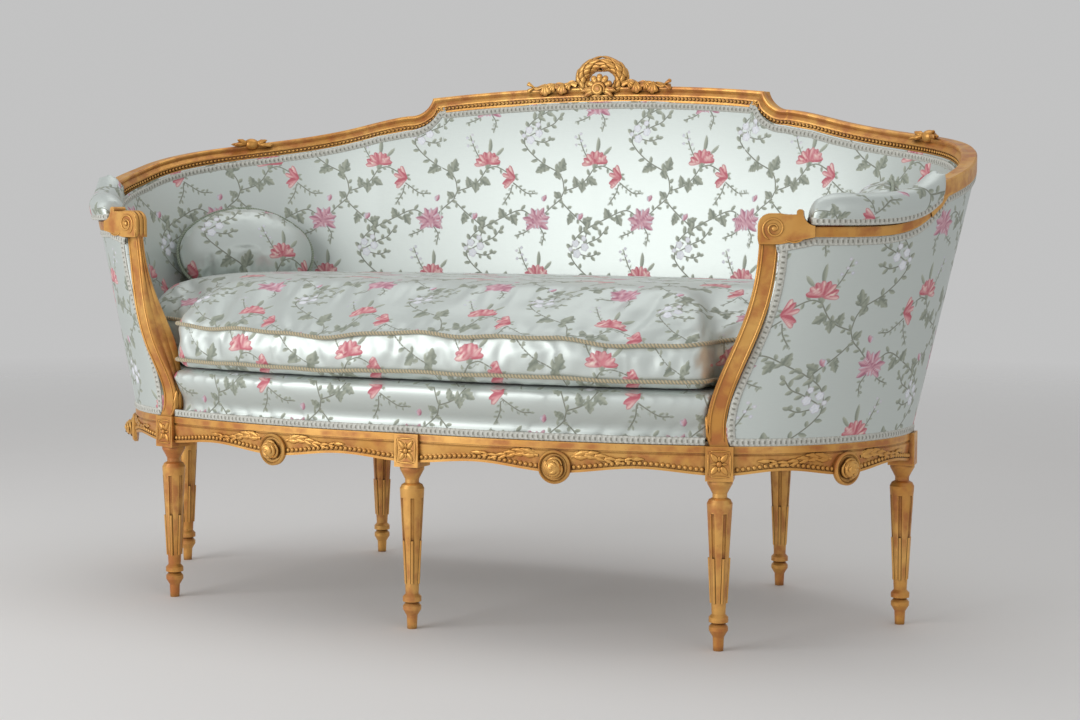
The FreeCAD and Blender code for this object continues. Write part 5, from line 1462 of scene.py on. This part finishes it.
def makeBraid(name, path, ups, mirrored=False):
    path = np.asarray(path, float)
    lengths = runLengths(path)
    spots = np.linspace(0, lengths[-1], max(4, int(lengths[-1] / gimp["spacing"])))
    spine, ups = placed(path, lengths, spots), placed(ups, lengths, spots)
    ahead = unit(np.gradient(spine, axis=0))
    side = unit(np.cross(ups, ahead))
    up = np.cross(ahead, side)
    count = len(spine)
    kept = {}

    def place(u, v):
        i = np.rint(v * (count - 1)).astype(int)
        angle = u * 2 * math.pi
        across = np.cos(angle)
        rows = 0.72 + 0.28 * np.abs(np.cos(across * 1.5 * math.pi))
        lift = gimp["thick"] * np.sin(angle) * np.where(np.sin(angle) > 0, rows, 1)
        kept["cloth"] = (spots[i], across)
        return spine[i] + side[i] * (gimp["half"] * across)[:, None] + up[i] * lift[:, None]

    piece = bentGrid(name, 16, count - 1, place)
    spreadCloth(piece, *kept["cloth"])
    return finished(welded(piece, 1e-7, mirrored), "frame", braid)


def wallLine(stations, heights, offsets):
    return wallPoint(stations, heights, offsets), np.append(wallOut(stations), np.zeros((len(stations), 1)), 1)


def coverLine(station):  # the outside cover's visible top, sweeping from the arm rail up to the crest
    rise = np.clip((station - basket["crestStart"]) / gimp["sweep"], 0, 1)
    beyond = np.where(station > basket["crestStart"], basket["armRail"] * (1 - rise * rise * (3 - 2 * rise)), 0)
    return coverTop(station) - beyond


def padSide(label, side, face, stations):  # where the arm pad's side lies just above the rail
    pad = bpy.data.objects["armPad" + label]
    tree = BVHTree.FromObject(pad, bpy.context.evaluated_depsgraph_get())
    starts, out = wallLine(stations, armTop(stations) + gimp["half"] + 0.001, face * 0.06)
    path, ups = [], []
    for start, away in zip(starts * (side, 1, 1), out * (side, 1, 1) * face):
        spot, normal, number, reach = tree.ray_cast(Vector(start), Vector(-away), 0.075)
        if spot is not None:
            path.append(np.array(spot) * (side, 1, 1))
            ups.append(unit(np.array([normal.x * side, normal.y, 0])))
    return np.array(path), np.array(ups)


def makeArmScrolls():  # the wood between the arm rail's end and the crest's underside
    work = Carving()
    stations = np.linspace(basket["crestStart"] - 0.035, basket["crestStart"] + gimp["sweep"], 40)
    top = np.where(stations > basket["crestStart"], coverTop(stations), armTop(stations)) + 0.0015
    low = coverLine(stations)
    path, out = wallLine(stations, (top + low) / 2, basket["coverFace"])
    ends = np.minimum(1, np.arange(40)[::-1] / 6)
    work.blade(path, out, (top - low) / 2 + 0.0012, gimp["scroll"] * ends, 12)
    work.mirror()
    work.piece("armScrolls")


def makePanelBraids():
    half, face = gimp["half"], basket["coverFace"]
    inside = np.concatenate([np.linspace(0.075, 2, 120), np.linspace(2, 4, 400)[1:]])
    insideTop = padTop(inside) - 0.0085
    outside = np.concatenate([np.linspace(0.05, 2, 160), np.linspace(2, 4, 400)[1:]])
    foot = np.linspace(float(postStation(basket["railTop"])) + 0.005, 4, 300)
    outsideRise = np.linspace(basket["railTop"] + half, walls["handLow"] - 0.003, 60)
    insideRise = np.linspace(0.42, walls["handLow"], 50)
    outsideFront, insideFront = (postStation(rise, half + gimp["postGap"]) for rise in (outsideRise, insideRise))
    lines = {  # the way each braid faces, its stations, heights and offsets
        "insideTop": (-1, inside, insideTop, insideOffset(inside, insideTop) - 0.0013),
        "outsideTop": (1, outside, coverLine(outside) - 0.0075, face),
        "outsideFoot": (1, foot, np.full(len(foot), basket["railTop"] + half), face),
        "outsideFront": (1, outsideFront, outsideRise, face),
        "insideFront": (-1, insideFront, insideRise, insideOffset(insideFront, insideRise) - 0.0005),
    }
    padStations = np.linspace(0.10, basket["crestStart"] - 0.008, 110)
    spot, normal = frontPoint(np.linspace(0.0, 0.955, 120), 0.0130)
    edge = np.column_stack([spot, np.full(len(spot), basket["railTop"] + half + 0.0005)])
    edgeOut = np.column_stack([normal, np.zeros(len(spot))])
    for mirrored, label in ((False, "Right"), (True, "Left")):
        for name, (facing, stations, heights, offsets) in lines.items():
            path, out = wallLine(stations, heights, offsets)
            makeBraid(name + "Braid" + label, path, out * facing, mirrored)
        for facing, name in ((1, "Out"), (-1, "In")):
            path, out = padSide(label, -1 if mirrored else 1, facing, padStations)
            makeBraid("armPad" + name + "Braid" + label, path, out, mirrored)
        makeBraid("seatEdgeBraid" + label, edge, edgeOut, mirrored)
    print("braid laid")


makePanelBraids()
makeArmScrolls()

# finishes of the frame's own nodes

clothShades = {"hessian": rgb(0.66, 0.56, 0.40), "webbing": rgb(0.60, 0.50, 0.36),
               "dust_cloth": rgb(0.32, 0.29, 0.26)}

for nodeName, node in frame["nodes"].items():
    nodeSlot = [row["material_slot"] for row in frame["record"]["subparts"] if row["node"] == nodeName][0]
    finishes = {"giltwood": gilt}
    if nodeSlot == "beech":
        finishes["beech"] = bpy.data.materials.get("beech") or beechMaterial("beech")
    if nodeSlot == "steel":
        finishes["steel"] = bpy.data.materials.get("screwSteel") or steelMaterial("screwSteel")
    if nodeSlot in clothShades:
        finishes[nodeSlot] = bpy.data.materials.get(nodeSlot) or plainClothMaterial(
            nodeSlot, clothShades[nodeSlot], 600.0)
    node.data.materials.clear()
    node.data.materials.append(finishes.get(nodeSlot, gilt))
print("frame finished")

# studio

studio = {
    "camera": (1.5743, -3.2771, 0.6789), "lens": 67.98, "yaw": 24.9213, "pitch": 4.1487, "roll": 0.2529,
    "glow": 0.55, "backdrop": 0.64, "floorHalf": 7.0, "fade": (2.4, 6.2),
    "lights": (  # name, place, aim, size and power
        ("key", (-2.1, -3.5, 1.5), (0, 0, 0.5), (3.0, 2.2), 79),
        ("fill", (3.0, -2.6, 1.5), (0.2, 0, 0.5), (1.6, 2.0), 11),
        ("top", (0.0, 0.6, 3.4), (0, 0, 0.4), (3.0, 2.0), 18)),
}


def makeStudio():
    camera = bpy.data.objects.new("camera", bpy.data.cameras.new("camera"))
    scene.collection.objects.link(camera)
    camera.data.sensor_width = 36.0
    camera.data.lens = studio["lens"]
    turn = Matrix.Rotation(math.radians(studio["yaw"]), 4, "Z")
    turn = turn @ Matrix.Rotation(math.radians(90 - studio["pitch"]), 4, "X")
    turn = turn @ Matrix.Rotation(math.radians(studio["roll"]), 4, "Z")
    camera.matrix_world = Matrix.Translation(studio["camera"]) @ turn
    scene.camera = camera

    bm = bmesh.new()
    bmesh.ops.create_grid(bm, x_segments=1, y_segments=1, size=studio["floorHalf"])
    mesh = bpy.data.meshes.new("floor")
    bm.to_mesh(mesh)
    bm.free()
    floor = linkPiece("floor", mesh)
    # the floor fades into the backdrop with distance
    n = Nodes("paleFloor")
    n.shader.inputs["Base Color"].default_value = rgb(0.92, 0.915, 0.91)
    n.shader.inputs["Roughness"].default_value = 0.7
    place = n.add("ShaderNodeTexCoord").outputs["Object"]
    away = n.add("ShaderNodeVectorMath", {0: place}, operation="LENGTH").outputs["Value"]
    fade = n.add("ShaderNodeMixShader", {0: n.step(away, *studio["fade"])})
    n.feed(fade.inputs[1], n.shader.outputs[0])
    n.feed(fade.inputs[2], n.add("ShaderNodeBsdfTransparent").outputs[0])
    n.feed(n.tree.nodes["Material Output"].inputs["Surface"], fade.outputs[0])
    mesh.materials.append(n.material)

    for name, spot, aim, size, power in studio["lights"]:
        lamp = bpy.data.lights.new(name, "AREA")
        lamp.shape = "RECTANGLE"
        lamp.size, lamp.size_y = size
        lamp.energy = power
        holder = bpy.data.objects.new(name, lamp)
        scene.collection.objects.link(holder)
        holder.location = spot
        holder.rotation_euler = (Vector(aim) - Vector(spot)).to_track_quat("-Z", "Y").to_euler()
    world = bpy.data.worlds.new("studio")
    scene.world = world
    world.use_nodes = True
    tree = world.node_tree
    seen = tree.nodes.new("ShaderNodeLightPath").outputs["Is Camera Ray"]
    shade = tree.nodes.new("ShaderNodeMix")
    shade.inputs[2].default_value, shade.inputs[3].default_value = studio["glow"], studio["backdrop"]
    tree.links.new(seen, shade.inputs[0])
    tree.links.new(shade.outputs[0], tree.nodes["Background"].inputs["Strength"])
    tree.nodes["Background"].inputs["Color"].default_value = rgb(0.93, 0.93, 0.93)
    scene.view_settings.view_transform = "Standard"


makeStudio()
print("scene ready")
